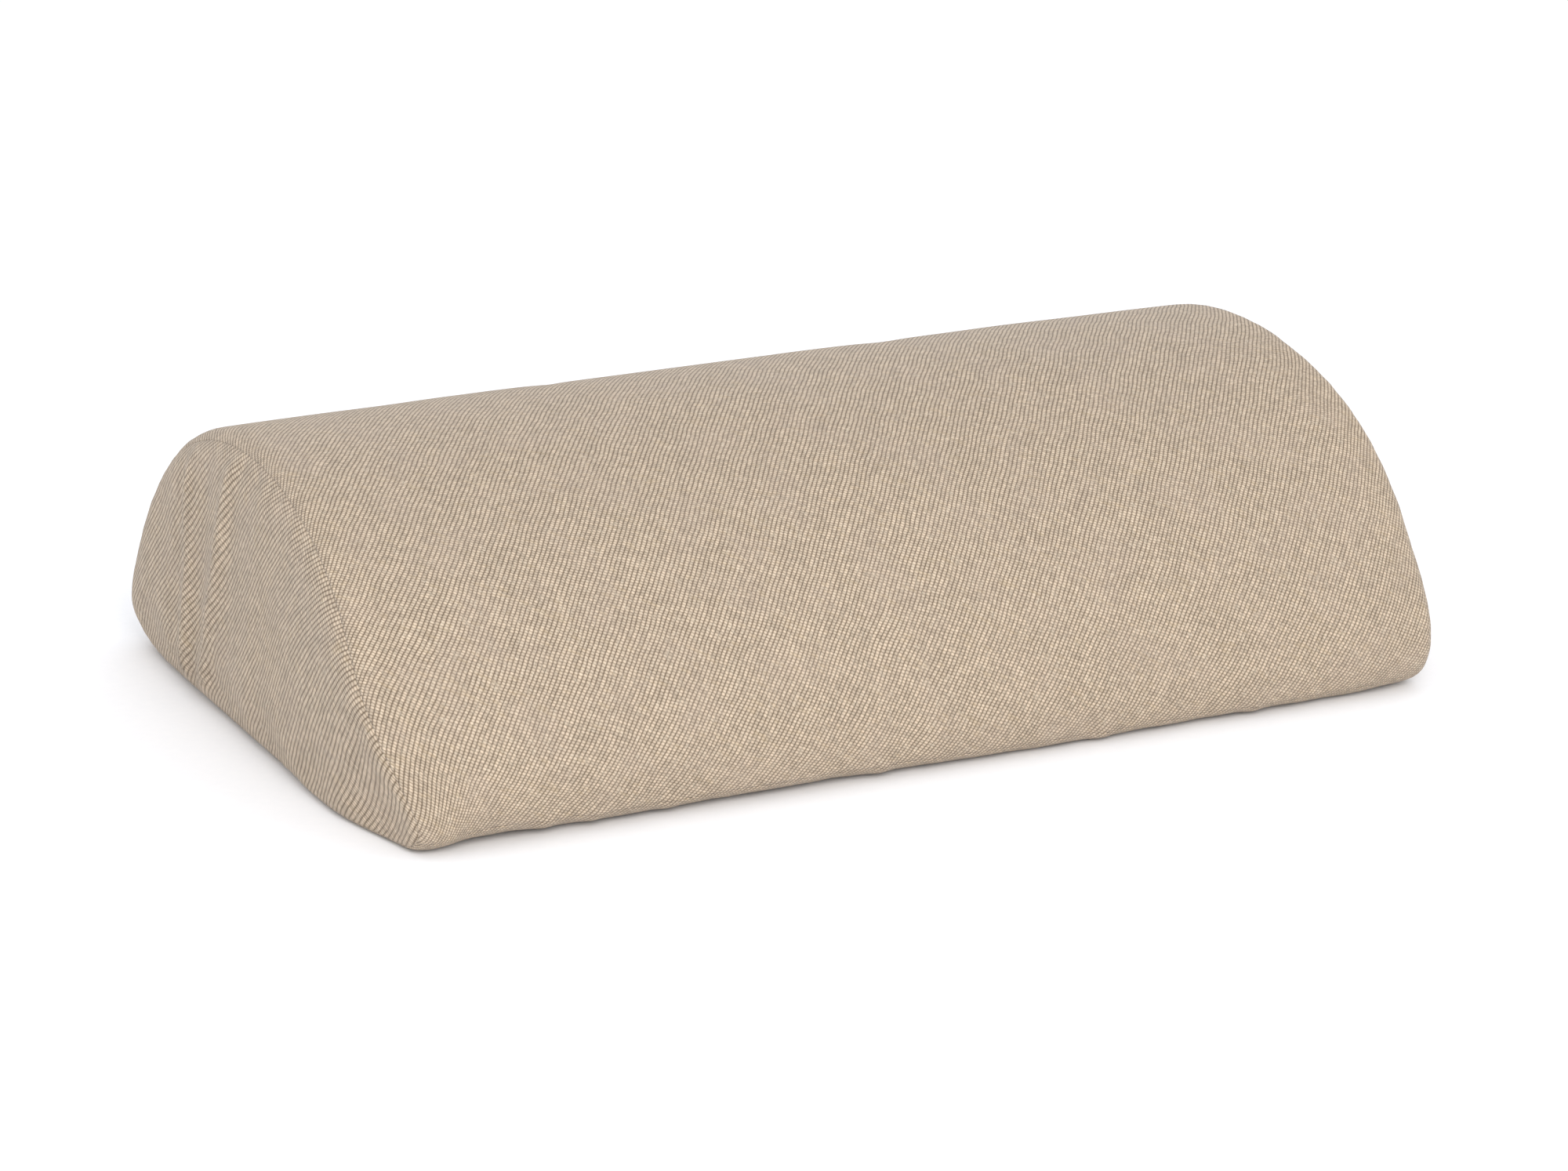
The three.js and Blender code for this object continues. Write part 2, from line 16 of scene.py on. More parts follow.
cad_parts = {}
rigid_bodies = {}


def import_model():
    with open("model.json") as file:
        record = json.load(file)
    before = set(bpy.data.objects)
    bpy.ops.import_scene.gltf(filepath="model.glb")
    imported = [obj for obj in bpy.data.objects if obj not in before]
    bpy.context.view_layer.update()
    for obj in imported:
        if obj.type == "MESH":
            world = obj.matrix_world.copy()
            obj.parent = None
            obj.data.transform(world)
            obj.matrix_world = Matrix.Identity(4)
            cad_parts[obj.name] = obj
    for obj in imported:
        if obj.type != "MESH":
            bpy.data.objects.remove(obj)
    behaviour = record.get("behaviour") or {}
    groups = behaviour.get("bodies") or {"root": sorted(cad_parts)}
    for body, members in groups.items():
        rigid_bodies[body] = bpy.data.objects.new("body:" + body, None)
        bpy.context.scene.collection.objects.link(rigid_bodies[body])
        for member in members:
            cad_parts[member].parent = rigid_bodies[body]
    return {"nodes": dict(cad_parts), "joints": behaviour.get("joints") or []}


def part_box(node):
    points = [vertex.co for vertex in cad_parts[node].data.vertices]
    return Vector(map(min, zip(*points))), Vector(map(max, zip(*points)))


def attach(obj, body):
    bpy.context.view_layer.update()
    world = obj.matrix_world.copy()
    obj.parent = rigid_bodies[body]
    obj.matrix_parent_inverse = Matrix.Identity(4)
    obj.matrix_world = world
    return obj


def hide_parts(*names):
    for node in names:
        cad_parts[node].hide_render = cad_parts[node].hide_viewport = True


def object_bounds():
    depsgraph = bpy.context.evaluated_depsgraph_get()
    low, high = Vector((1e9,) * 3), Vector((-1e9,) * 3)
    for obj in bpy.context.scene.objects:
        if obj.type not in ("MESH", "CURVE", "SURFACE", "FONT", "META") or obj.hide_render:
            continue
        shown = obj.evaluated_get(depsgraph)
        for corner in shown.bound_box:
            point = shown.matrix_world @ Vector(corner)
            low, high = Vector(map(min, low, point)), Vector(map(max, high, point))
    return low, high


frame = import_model()
CAD_LOW, CAD_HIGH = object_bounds()

bl_info = {
    "name": "Lumbar cushion",
    "version": (1, 0, 0),
    "blender": (4, 5, 0),
    "location": "3D View > Sidebar > Cushion",
    "description": "Builds a half-moon lumbar cushion with a zipped woven cover",
    "category": "Add Mesh",
}

MM = 0.001
FORM = "cushion_form"  # the mesh that holds the filled cover's shape
CLOTH_MAP = "cloth"  # each panel's flat pattern, laid on the cloth's own grain, in metres
PANEL = "panel"  # the panel that each face of the form belongs to
PANELS = (
    "cover_wrap_panel",
    "cover_rear_strip",
    "cover_base_panel",
    "cover_end_panel_left",
    "cover_end_panel_right",
    "zip_end_tab_left",
    "zip_end_tab_right",
    "opening",
)
WRAP, STRIP, BASE, END_LEFT, END_RIGHT, TAB_LEFT, TAB_RIGHT, OPENING = range(len(PANELS))

ARCH_SAMPLES = 6001  # points round the arch, from which lengths along it are measured
CORNER_STEPS = 3  # faces round each half of a base corner
RIM_STEPS = 4  # faces round the rim of each end
END_ACROSS = 40  # faces across each end panel
END_SMOOTHINGS = 60  # passes that even out an end panel's grid
SWELL_FRAMES = 20  # frames of cloth simulation
HINGE_ABOVE_TAPE = 3.9 * MM  # from the tapes' plane out to the pull tab's hinge
ZIP_HOLD = 13 * MM  # cloth this near the zip's line doesn't swell
LINER_GAP = 0.7 * MM  # from the cover's inside to the liner
FOAM_GAP = 1.1 * MM  # from the cover's and the liner's thickness to the foam
GRAIN_STEP = 0.28  # how far each rib's grains lag behind the last rib's, as a share of a grain


def linear(code):
    """An sRGB hex colour as linear red, green and blue."""
    parts = [int(code[i : i + 2], 16) / 255 for i in (0, 2, 4)]
    return [p / 12.92 if p <= 0.04045 else ((p + 0.055) / 1.055) ** 2.4 for p in parts]


def colour(name, description, code):
    return bpy.props.FloatVectorProperty(
        name=name, description=description, subtype="COLOR", size=3, min=0, max=1, default=linear(code)
    )


def length(name, description, default):
    return bpy.props.FloatProperty(
        name=name, description=description, unit="LENGTH", default=default, precision=5
    )


class CushionShape(bpy.types.PropertyGroup):
    """Sizes of the foam block and of the cloth round it."""

    length: length("Length", "From end to end", CAD_HIGH.x - CAD_LOW.x)
    depth: length("Depth", "From the rear face to the front", CAD_HIGH.y - CAD_LOW.y)
    height: length("Height", "From the base to the ridge", CAD_HIGH.z - CAD_LOW.z)
    base_radius: length("Base corner radius", "Round the long bottom edges", 16 * MM)
    end_radius: length("End edge radius", "Round the rim of each end, over the top and the rear", 11 * MM)
    front_radius: length("Front rim radius", "Round the rim of each end, down the front", 6.5 * MM)
    cover: length("Cover thickness", "Thickness of the woven cloth", 1.2 * MM)
    liner: length("Liner thickness", "Thickness of the liner cloth", 0.8 * MM)
    step: length("Mesh step", "Distance between points of the simulated cloth", 5 * MM)
    depth_exponent: bpy.props.FloatProperty(
        name="Depth exponent", description="2 is an ellipse, more stands fuller", default=2.05
    )
    height_exponent: bpy.props.FloatProperty(
        name="Height exponent", description="Less than 2 leans the faces in", default=1.65
    )
    ease: length("Ease", "How much lower the form starts, so that it swells to its height", 1.3 * MM)
    pressure: bpy.props.FloatProperty(
        name="Filling pressure", description="How hard the foam swells the cloth", default=3.0
    )
    slack: bpy.props.FloatProperty(
        name="Slack", description="How much larger the cloth is cut than the foam", default=0.004
    )
    swell: length("Largest swell", "The furthest that the cloth may move", 1.8 * MM)


class CushionCloth(bpy.types.PropertyGroup):
    """The woven cloth of the cover."""

    rib: length("Rib spacing", "Across one thread of the warp", 1.7 * MM)
    pick: length("Pick spacing", "From one grain of a thread to the next", 1.15 * MM)
    grain: bpy.props.FloatProperty(
        name="Grain", description="Turn of the cloth on the wrap and the base", subtype="ANGLE",
        default=math.radians(-34),
    )
    end_grain: bpy.props.FloatProperty(
        name="End grain", description="Turn of the cloth on the end panels", subtype="ANGLE",
        default=math.radians(-45),
    )
    end_open: bpy.props.FloatProperty(
        name="End opening", description="How far the end panels' threads are drawn apart", default=1.2
    )
    thread: colour("Thread", "The light crowns of the threads", "C0AE98")
    gap: colour("Gap", "The shade between the threads", "6C5C4A")
    slub: colour("Slub", "The odd straw-coloured thread", "AB9675")
    dusk: colour("Dusk", "The greyer patches of the yarn", "A49387")
    fibre: colour("Fibre", "The pale loose fibres", "DDD1BC")


class CushionZip(bpy.types.PropertyGroup):
    """The zip in the rear face."""

    opening: length("Opening", "Between the cover's two folded edges", 10 * MM)
    tape_width: length("Tape width", "Each of the two tapes", 14 * MM)
    tape_drop: length("Tape drop", "How far each tape's far edge sinks under the cover", 2.4 * MM)
    coil_pitch: length("Coil pitch", "From one turn to the next", 1.4 * MM)
    wire: length("Coil wire", "Thickness of the nylon monofilament", 0.6 * MM)
    stitch: length("Stitch length", "Of the topstitching beside the zip", 3.2 * MM)
    thread: length("Thread thickness", "Of the topstitching", 0.45 * MM)
    hollow: length("Hollow", "Room that the foam leaves behind the slider", 2.9 * MM)


class CushionStage(bpy.types.PropertyGroup):
    """The floor, the lights and the camera."""

    azimuth: bpy.props.FloatProperty(
        name="Azimuth", description="Turn round the cushion", subtype="ANGLE",
        default=math.radians(-25.94),
    )
    elevation: bpy.props.FloatProperty(
        name="Elevation", description="Height above the floor", subtype="ANGLE",
        default=math.radians(17.32),
    )
    distance: length("Distance", "From the camera to the cushion", 1.935)
    lens: bpy.props.FloatProperty(name="Lens", description="Focal length in mm", default=112.7)
    sky: bpy.props.FloatProperty(name="Sky", description="Brightness of the room", default=1.03)
    key: bpy.props.FloatProperty(name="Key", description="Power of the main lamp, in watts", default=34.0)


# ---- small tools ------------------------------------------------------------------------------


def frame_point(across_x, outward, upward):
    """A point of the zip, from its distances along X, out of the tape's plane and up it."""
    origin, out, up = zip_axes()
    return origin + Vector((1, 0, 0)) * across_x + out * outward + up * upward


def zip_axes():
    """The middle of the zip's line in the tape's plane at x = 0, its way out and its way up."""
    flip = next(j for j in frame["joints"] if j["name"] == "tab_flip")
    up = -Vector(flip["axis"])
    out = Vector((0, up.z, -up.y))
    hinge = Vector(flip["pos_m"])
    return Vector((0, hinge.y, hinge.z)) - out * HINGE_ABOVE_TAPE, out, up


def smooth_step(low, high, value):
    t = np.clip((value - low) / (high - low), 0, 1)
    return t * t * (3 - 2 * t)


def rough(points, size, seed):
    """Smooth random values from -1 to 1 at these points, with features of that size."""
    shift = Vector((seed * 7.3, seed * 3.1, seed * 5.7))
    return np.array([noise.noise(Vector(p) / size + shift) for p in points])


def positions(mesh):
    found = np.empty(len(mesh.vertices) * 3, np.float32)
    mesh.vertices.foreach_get("co", found)
    return found.reshape(-1, 3).astype(float)


def move_to(mesh, points):
    mesh.vertices.foreach_set("co", np.asarray(points, np.float32).ravel())
    mesh.update()


def normals_of(mesh):
    found = np.empty(len(mesh.vertices) * 3, np.float32)
    mesh.vertex_normals.foreach_get("vector", found)
    return found.reshape(-1, 3).astype(float)


def corner_points(mesh):
    """The point at each corner of each face."""
    found = np.empty(len(mesh.loops), np.int64)
    mesh.loops.foreach_get("vertex_index", found)
    return found


def cloth_map(mesh):
    """Each face corner's place on the flat cloth."""
    found = np.empty(len(mesh.loops) * 2, np.float32)
    mesh.uv_layers[CLOTH_MAP].data.foreach_get("uv", found)
    return found.reshape(-1, 2)


def set_cloth_map(mesh, at):
    """Lays each face corner at its place on the flat cloth."""
    layer = mesh.uv_layers.get(CLOTH_MAP) or mesh.uv_layers.new(name=CLOTH_MAP)
    layer.data.foreach_set("uv", np.asarray(at, np.float32).ravel())


def panels_of(mesh):
    """The panel that each face belongs to."""
    found = np.empty(len(mesh.polygons), np.int32)
    mesh.attributes[PANEL].data.foreach_get("value", found)
    return found


def show(name, mesh, material, body="cushion", replaces=()):
    """Makes a piece of the object from a mesh."""
    piece = bpy.data.objects.new(name, mesh)
    bpy.context.scene.collection.objects.link(piece)
    mesh.materials.clear()
    mesh.materials.append(material)
    mesh.shade_smooth()
    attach(piece, body)
    if replaces:
        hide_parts(*replaces)
    return piece


def evaluated(piece):
    """A copy of a piece's mesh with its modifiers applied."""
    bpy.context.view_layer.update()
    graph = bpy.context.evaluated_depsgraph_get()
    return bpy.data.meshes.new_from_object(piece.evaluated_get(graph))


def with_modifiers(mesh, *modifiers):
    """A mesh after these modifiers, each (type, settings)."""
    holder = bpy.data.objects.new("holder", mesh)
    bpy.context.scene.collection.objects.link(holder)
    for kind, settings in modifiers:
        made = holder.modifiers.new(kind.title(), kind)
        for key, value in settings.items():
            setattr(made, key, value)
    result = evaluated(holder)
    bpy.data.objects.remove(holder)
    return result


def tube(path, radius, sides, across):
    """Points and faces of a closed tube along a path; across is a way that is never along it."""
    path = np.asarray(path, float)
    way = np.gradient(path, axis=0)
    way /= np.linalg.norm(way, axis=1)[:, None]
    side = np.cross(way, across)
    side /= np.linalg.norm(side, axis=1)[:, None]
    other = np.cross(way, side)
    turn = np.arange(sides) * 2 * math.pi / sides
    radius = np.broadcast_to(radius, len(path))
    ring = (
        path[:, None]
        + radius[:, None, None] * np.cos(turn)[None, :, None] * side[:, None]
        + radius[:, None, None] * np.sin(turn)[None, :, None] * other[:, None]
    )
    faces = [
        (i * sides + k, i * sides + (k + 1) % sides, (i + 1) * sides + (k + 1) % sides, (i + 1) * sides + k)
        for i in range(len(path) - 1)
        for k in range(sides)
    ]
    last = (len(path) - 1) * sides
    faces += [tuple(range(sides))[::-1], tuple(last + k for k in range(sides))]
    return ring.reshape(-1, 3), faces


def joined(parts):
    """One mesh from several (points, faces)."""
    points, faces, start = [], [], 0
    for part_points, part_faces in parts:
        points.append(part_points)
        faces += [tuple(start + v for v in face) for face in part_faces]
        start += len(part_points)
    mesh = bpy.data.meshes.new("joined")
    mesh.from_pydata(np.concatenate(points).tolist(), [], faces)
    outward(mesh)
    return mesh


def thin_sheet(points, places, rows, across):
    """A closed thin sheet on the cloth map, from its top points and then its bottom points, each in
    rows of so many across; places are the points' places on the flat cloth."""
    start = rows * across
    faces = []
    for i in range(rows - 1):
        for k in range(across - 1):
            a = i * across + k
            b = a + across
            faces += [(a, a + 1, b + 1, b), (start + a, start + b, start + b + 1, start + a + 1)]
        for k in (0, across - 1):
            a = i * across + k
            faces.append((a, a + across, start + a + across, start + a))
    for i in (0, rows - 1):
        for k in range(across - 1):
            a = i * across + k
            faces.append((a, start + a, start + a + 1, a + 1))
    mesh = joined([(np.array(points), faces)])
    set_cloth_map(mesh, np.array(places)[corner_points(mesh)])
    return mesh


def outward(mesh):
    """Turns every face of a closed mesh outwards."""
    work = bmesh.new()
    work.from_mesh(mesh)
    bmesh.ops.recalc_face_normals(work, faces=work.faces)
    work.to_mesh(mesh)
    work.free()


# ---- the form ---------------------------------------------------------------------------------


def stations(shape, zipper):
    """Stations round the cross-section: core points, outward normals, arc lengths and segment names."""
    half_depth = shape.depth / 2 - shape.base_radius
    rise = shape.height - 2 * shape.base_radius - shape.ease
    t = np.linspace(0, math.pi, ARCH_SAMPLES)
    cosine, sine = np.cos(t), np.sin(t)
    p, q = 2 / shape.depth_exponent, 2 / shape.height_exponent
    core = np.stack(
        [half_depth * np.sign(cosine) * np.abs(cosine) ** p, shape.base_radius + rise * sine**q], 1
    )
    normal = np.stack(
        [
            np.sign(cosine) * np.abs(cosine) ** (2 - p) * shape.depth_exponent / half_depth,
            sine ** (2 - q) * shape.height_exponent / rise,
        ],
        1,
    )
    normal /= np.linalg.norm(normal, axis=1)[:, None]
    outer = core + normal * shape.base_radius
    arc = np.concatenate([[0], np.cumsum(np.linalg.norm(np.diff(outer, axis=0), axis=1))])
    out = zip_axes()[1]
    at_zip = arc[np.argmax(normal @ np.array([out.y, out.z]) * (core[:, 0] > 0))]
    cuts = [0, at_zip - zipper.opening / 2, at_zip + zipper.opening / 2, arc[-1]]
    cores, normals, lengths, names = [], [], [], []

    def place(points, ways, arcs, name):
        cores.extend(points[:-1])
        normals.extend(ways[:-1])
        lengths.extend(arcs[:-1])
        names.extend([name] * (len(points) - 1))

    for name, low, high in zip(("strip", "opening", "wrap"), cuts, cuts[1:]):
        wanted = np.linspace(low, high, max(2, round((high - low) / shape.step)) + 1)
        points = np.stack([np.interp(wanted, arc, core[:, k]) for k in (0, 1)], 1)
        ways = np.stack([np.interp(wanted, arc, normal[:, k]) for k in (0, 1)], 1)
        place(points, ways / np.linalg.norm(ways, axis=1)[:, None], wanted, name)
    reached = arc[-1]
    quarter = shape.base_radius * math.pi / 2

    def corner(centre, start_angle, first, second):
        nonlocal reached
        for half, name in ((0, first), (1, second)):
            turn = start_angle + (half + np.linspace(0, 1, CORNER_STEPS + 1)) * math.pi / 4
            ways = np.stack([np.cos(turn), np.sin(turn)], 1)
            points = np.repeat([[centre, shape.base_radius]], CORNER_STEPS + 1, 0)
            place(points, ways, reached + np.linspace(0, quarter / 2, CORNER_STEPS + 1), name)
            reached += quarter / 2

    corner(-half_depth, math.pi, "wrap", "base")
    flat = 2 * half_depth
    count = round(flat / shape.step)
    count += (len(names) + 2 * CORNER_STEPS + count) % 2  # the rows have to be even in number
    points = np.stack(
        [np.linspace(-half_depth, half_depth, count + 1), np.full(count + 1, shape.base_radius)], 1
    )
    place(points, np.repeat([[0.0, -1.0]], count + 1, 0), reached + np.linspace(0, flat, count + 1), "base")
    reached += flat
    corner(half_depth, -math.pi / 2, "base", "strip")
    return np.array(cores), np.array(normals), np.array(lengths), names, reached, at_zip


def columns(shape, half_opening, rim):
    """Columns along X, in each row, whose rim has its own radius: place, offset of the surface,
    place in the flat cloth, and turn round the rim, which is the same in every row."""
    straight = shape.length / 2 - shape.end_radius
    inner = np.linspace(0, half_opening, round(half_opening / shape.step) + 1)
    outer = np.linspace(half_opening, straight, round((straight - half_opening) / shape.step) + 1)[1:]
    half = np.concatenate([inner, outer])
    turn = np.arange(1, RIM_STEPS + 1) * math.pi / (2 * RIM_STEPS)
    start = shape.length / 2 - rim[:, None]
    along = np.tile(half, (len(rim), 1))
    place = np.concatenate([along, start + rim[:, None] * np.sin(turn)], 1)
    offset = np.concatenate(
        [np.full(along.shape, shape.base_radius), shape.base_radius - rim[:, None] * (1 - np.cos(turn))], 1
    )
    flat = np.concatenate([along, start + rim[:, None] * turn], 1)
    angle = np.concatenate([np.zeros(len(half)), turn])[None, :]

    def both(values, sign):
        return np.concatenate([sign * values[:, :0:-1], values], 1)

    return both(place, -1), both(offset, 1), both(flat, -1), both(angle, 1)[0]


def filled_end(loop, across, points):
    """Fills an end's loop of points with a grid, blended between the loop's four sides and then
    evened out. Adds the new points to the list, and returns each grid place's point."""
    rows = len(loop)
    up = rows // 2 - across
    grid = {}
    for i in range(across + 1):
        grid[i, 0], grid[i, up] = loop[i], loop[2 * across + up - i]
    for j in range(up + 1):
        grid[across, j], grid[0, j] = loop[across + j], loop[(rows - j) % rows]
    corner = {(a, b): points[grid[a * across, b * up]] for a in (0, 1) for b in (0, 1)}
    inner = {}
    for i in range(1, across):
        for j in range(1, up):
            u, v = i / across, j / up
            inner[i, j] = (
                (1 - v) * points[grid[i, 0]]
                + v * points[grid[i, up]]
                + (1 - u) * points[grid[0, j]]
                + u * points[grid[across, j]]
                - (1 - u) * (1 - v) * corner[0, 0]
                - u * (1 - v) * corner[1, 0]
                - (1 - u) * v * corner[0, 1]
                - u * v * corner[1, 1]
            )
    sheet = np.array(
        [
            [inner[i, j] if (i, j) in inner else points[grid[i, j]] for j in range(up + 1)]
            for i in range(across + 1)
        ]
    )
    for _ in range(END_SMOOTHINGS):
        sheet[1:-1, 1:-1] = (sheet[:-2, 1:-1] + sheet[2:, 1:-1] + sheet[1:-1, :-2] + sheet[1:-1, 2:]) / 4
    for i in range(1, across):
        for j in range(1, up):
            grid[i, j] = len(points)
            points.append(sheet[i, j])
    return grid, up


def lay_pattern(mesh, panels, round_at, end_at, around):
    """Lays each panel's flat pattern on the form: rolled out round the arch for the long panels, and
    as it stands for the ends, where the right end is the left end's mirror image."""
    corners = corner_points(mesh)
    of_corner = np.repeat(panels, 4)
    at = round_at[corners]
    wraps_under = (of_corner != BASE) & (of_corner != WRAP) & (at[:, 1] > 0.75 * around)
    at[wraps_under, 1] -= around
    flat_end = end_at[corners] * [1, -1]
    flat_end[:, 0] *= np.where(of_corner == END_RIGHT, 1, -1)
    is_end = (of_corner == END_LEFT) | (of_corner == END_RIGHT)
    at[is_end] = flat_end[is_end]
    set_cloth_map(mesh, at)


def closed_form(shape, zipper):
    """The filled cover as one closed mesh, before it swells, with its panels and cloth coordinates."""
    core, normal, arc, names, around, at_zip = stations(shape, zipper)
    half_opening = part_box("zip_end_tab_right")[0].x
    softer = smooth_step(-90 * MM, -25 * MM, core[:, 0])
    rim = shape.front_radius + (shape.end_radius - shape.front_radius) * softer
    place, offset, flat, angle = columns(shape, half_opening, rim)
    rows, count = place.shape
    points = np.empty((rows, count, 3))
    points[:, :, 0] = place
    points[:, :, 1:] = core[:, None] + normal[:, None] * offset[:, :, None]
    rolled = shape.base_radius - rim[:, None] * (1 - math.pi / 2 + angle)
    pattern = {
        "round": np.stack(np.broadcast_arrays(flat, arc[:, None]), 2).reshape(-1, 2),
        "end": (core[:, None] + normal[:, None] * rolled[:, :, None]).reshape(-1, 2),
    }
    points = list(points.reshape(-1, 3))
    ends = list(pattern["end"])
    faces, panel = [], []
    quarter = math.pi / 4 - 1e-6
    for i in range(rows):
        for j in range(count - 1):
            after = (i + 1) % rows
            faces.append((i * count + j, after * count + j, after * count + j + 1, i * count + j + 1))
            middle = (place[i, j] + place[i, j + 1]) / 2
            if min(angle[j], angle[j + 1]) >= quarter:
                panel.append(END_LEFT if middle < 0 else END_RIGHT)
            elif names[i] == "opening":
                inside = abs(middle) < half_opening
                panel.append(OPENING if inside else TAB_LEFT if middle < 0 else TAB_RIGHT)
            else:
                panel.append({"wrap": WRAP, "strip": STRIP, "base": BASE}[names[i]])
    base_rows = [i for i, name in enumerate(names) if name == "base"]
    across = END_ACROSS
    start = base_rows[0] + (len(base_rows) - across) // 2
    for column, which in ((0, END_LEFT), (count - 1, END_RIGHT)):
        loop = [((start + k) % rows) * count + column for k in range(rows)]
        grid, up = filled_end(loop, across, points)
        ends += [point[1:] for point in points[len(ends):]]
        for i in range(across):
            for j in range(up):
                faces.append((grid[i, j], grid[i + 1, j], grid[i + 1, j + 1], grid[i, j + 1]))
                panel.append(which)
    points = np.array(points)
    mesh = bpy.data.meshes.new("coarse_form")
    mesh.from_pydata(points.tolist(), [], faces)
    outward(mesh)
    panels = np.array(panel, np.int32)
    mesh.attributes.new(PANEL, "INT", "FACE").data.foreach_set("value", panels)
    round_at = np.zeros((len(points), 2))
    round_at[: rows * count] = pattern["round"]
    lay_pattern(mesh, panels, round_at, np.array(ends), around)
    return mesh, {"names": names, "count": count, "angle": angle, "arc": arc, "zip": at_zip}


def pinned_points(mesh, shape, plan):
    """How firmly each point is held: seams, the zip and the flat of the base don't move."""
    hold = np.zeros(len(mesh.vertices))
    count = plan["count"]
    on_rim = np.abs(plan["angle"] - math.pi / 4) < 1e-3
    for i, name in enumerate(plan["names"]):
        row = slice(i * count, (i + 1) * count)
        hold[row][on_rim] = 1
        if name != plan["names"][i - 1] and "opening" not in (name, plan["names"][i - 1]):
            hold[row] = 1
        by_zip = abs(plan["arc"][i] - plan["zip"]) < ZIP_HOLD
        if name == "opening" or plan["names"][i - 1] == "opening" or by_zip:
            hold[row] = 1
    points = positions(mesh)
    flat = points[:, 2] < 0.02 * MM
    inside = np.maximum(np.abs(points[:, 0]) / (shape.length / 2), np.abs(points[:, 1]) / (shape.depth / 2))
    hold[flat & (inside < 0.97)] = 1
    return hold


def swell(mesh, shape, plan):
    """Lets the cloth, cut a little large, swell round the foam and settle in soft waves."""
    hold = pinned_points(mesh, shape, plan)
    before = positions(mesh)
    lift = rough(before, 45 * MM, 3)[:, None] * normals_of(mesh) * 0.5 * MM
    free = (1 - hold)[:, None]
    move_to(mesh, before + lift * free)
    cloth = bpy.data.objects.new("swelling", mesh)
    bpy.context.scene.collection.objects.link(cloth)
    group = cloth.vertex_groups.new(name="held")
    group.add([int(v) for v in np.flatnonzero(hold > 0.5)], 1.0, "REPLACE")
    made = cloth.modifiers.new("Cloth", "CLOTH")
    for key, value in {
        "quality": 6,
        "mass": 0.4,
        "tension_stiffness": 25,
        "compression_stiffness": 25,
        "shear_stiffness": 12,
        "bending_stiffness": 4,
        "tension_damping": 8,
        "compression_damping": 8,
        "shear_damping": 8,
        "bending_damping": 1,
        "air_damping": 4,
        "use_pressure": True,
        "uniform_pressure_force": shape.pressure,
        "shrink_min": -shape.slack,
        "vertex_group_mass": "held",
    }.items():
        setattr(made.settings, key, value)
    made.settings.effector_weights.gravity = 0
    made.point_cache.frame_end = SWELL_FRAMES
    scene = bpy.context.scene
    for step in range(1, SWELL_FRAMES + 1):
        scene.frame_set(step)
    swollen = evaluated(cloth)
    after = positions(swollen)
    scene.frame_set(1)
    bpy.data.objects.remove(cloth)
    bpy.data.meshes.remove(swollen)
    moved = after - before
    far = np.linalg.norm(moved, axis=1)
    limit = shape.swell * np.tanh(far / shape.swell) / np.maximum(far, 1e-9)
    move_to(mesh, before + moved * limit[:, None])


# Each base corner: its side along x and y, how far it is pulled in along each, how far the pull
# reaches along the depth and up, and how far the faces above it are drawn in. All are in mm.
CORNERS = (
    (-1, 1, 4.0, 1.0, 26, 12, 2),
    (-1, -1, 13.5, -1.2, 44, 34, 14),
    (1, -1, 3.4, 0.8, 30, 26, 4),
    (1, 1, 1.5, 0.8, 24, 16, 3),
)
# Each fold of an end panel: its foot along the depth in mm, how far it leans to the front as it
# rises, its half width and its height in mm, where a height below 0 is a hollow.
FOLDS = (
    (69.0, 0.144, 4.8, 2.2),
    (52.5, 0.41, 5.5, 2.4),
    (84.0, 0.205, 7.0, -1.0),
    (62.5, 0.28, 6.5, -1.1),
    (25.0, 0.19, 8.0, -0.9),
    (4.0, 0.30, 9.0, 0.6),
)
# Each long low wave of the wrap: its place along the length, how far it leans on its way down to the
# front's foot, its half width and its height, all in mm, where a height below 0 is a hollow.
WAVES = (
    (-118, 20, 15, 0.8),
    (-8, 26, 17, 0.9),
    (112, 30, 16, 0.9),
    (52, 26, 22, -0.5),
    (-62, 22, 22, -0.5),
    (168, 30, 18, -0.5),
)
# Each tuck above the long base seams: its place along the length and its depth, in mm.
TUCKS = ((-150, 0.8), (-112, 1.0), (-38, 0.9), (-12, 1.2), (64, 1.1), (118, 1.3), (171, 0.9))
# Each tuft that stands out at the front's foot: its place along the length, in mm.
TUFTS = (-157, -138, -108, -21, 73, 140)


def bell(value, width):
    return np.exp(-((value / width) ** 2))


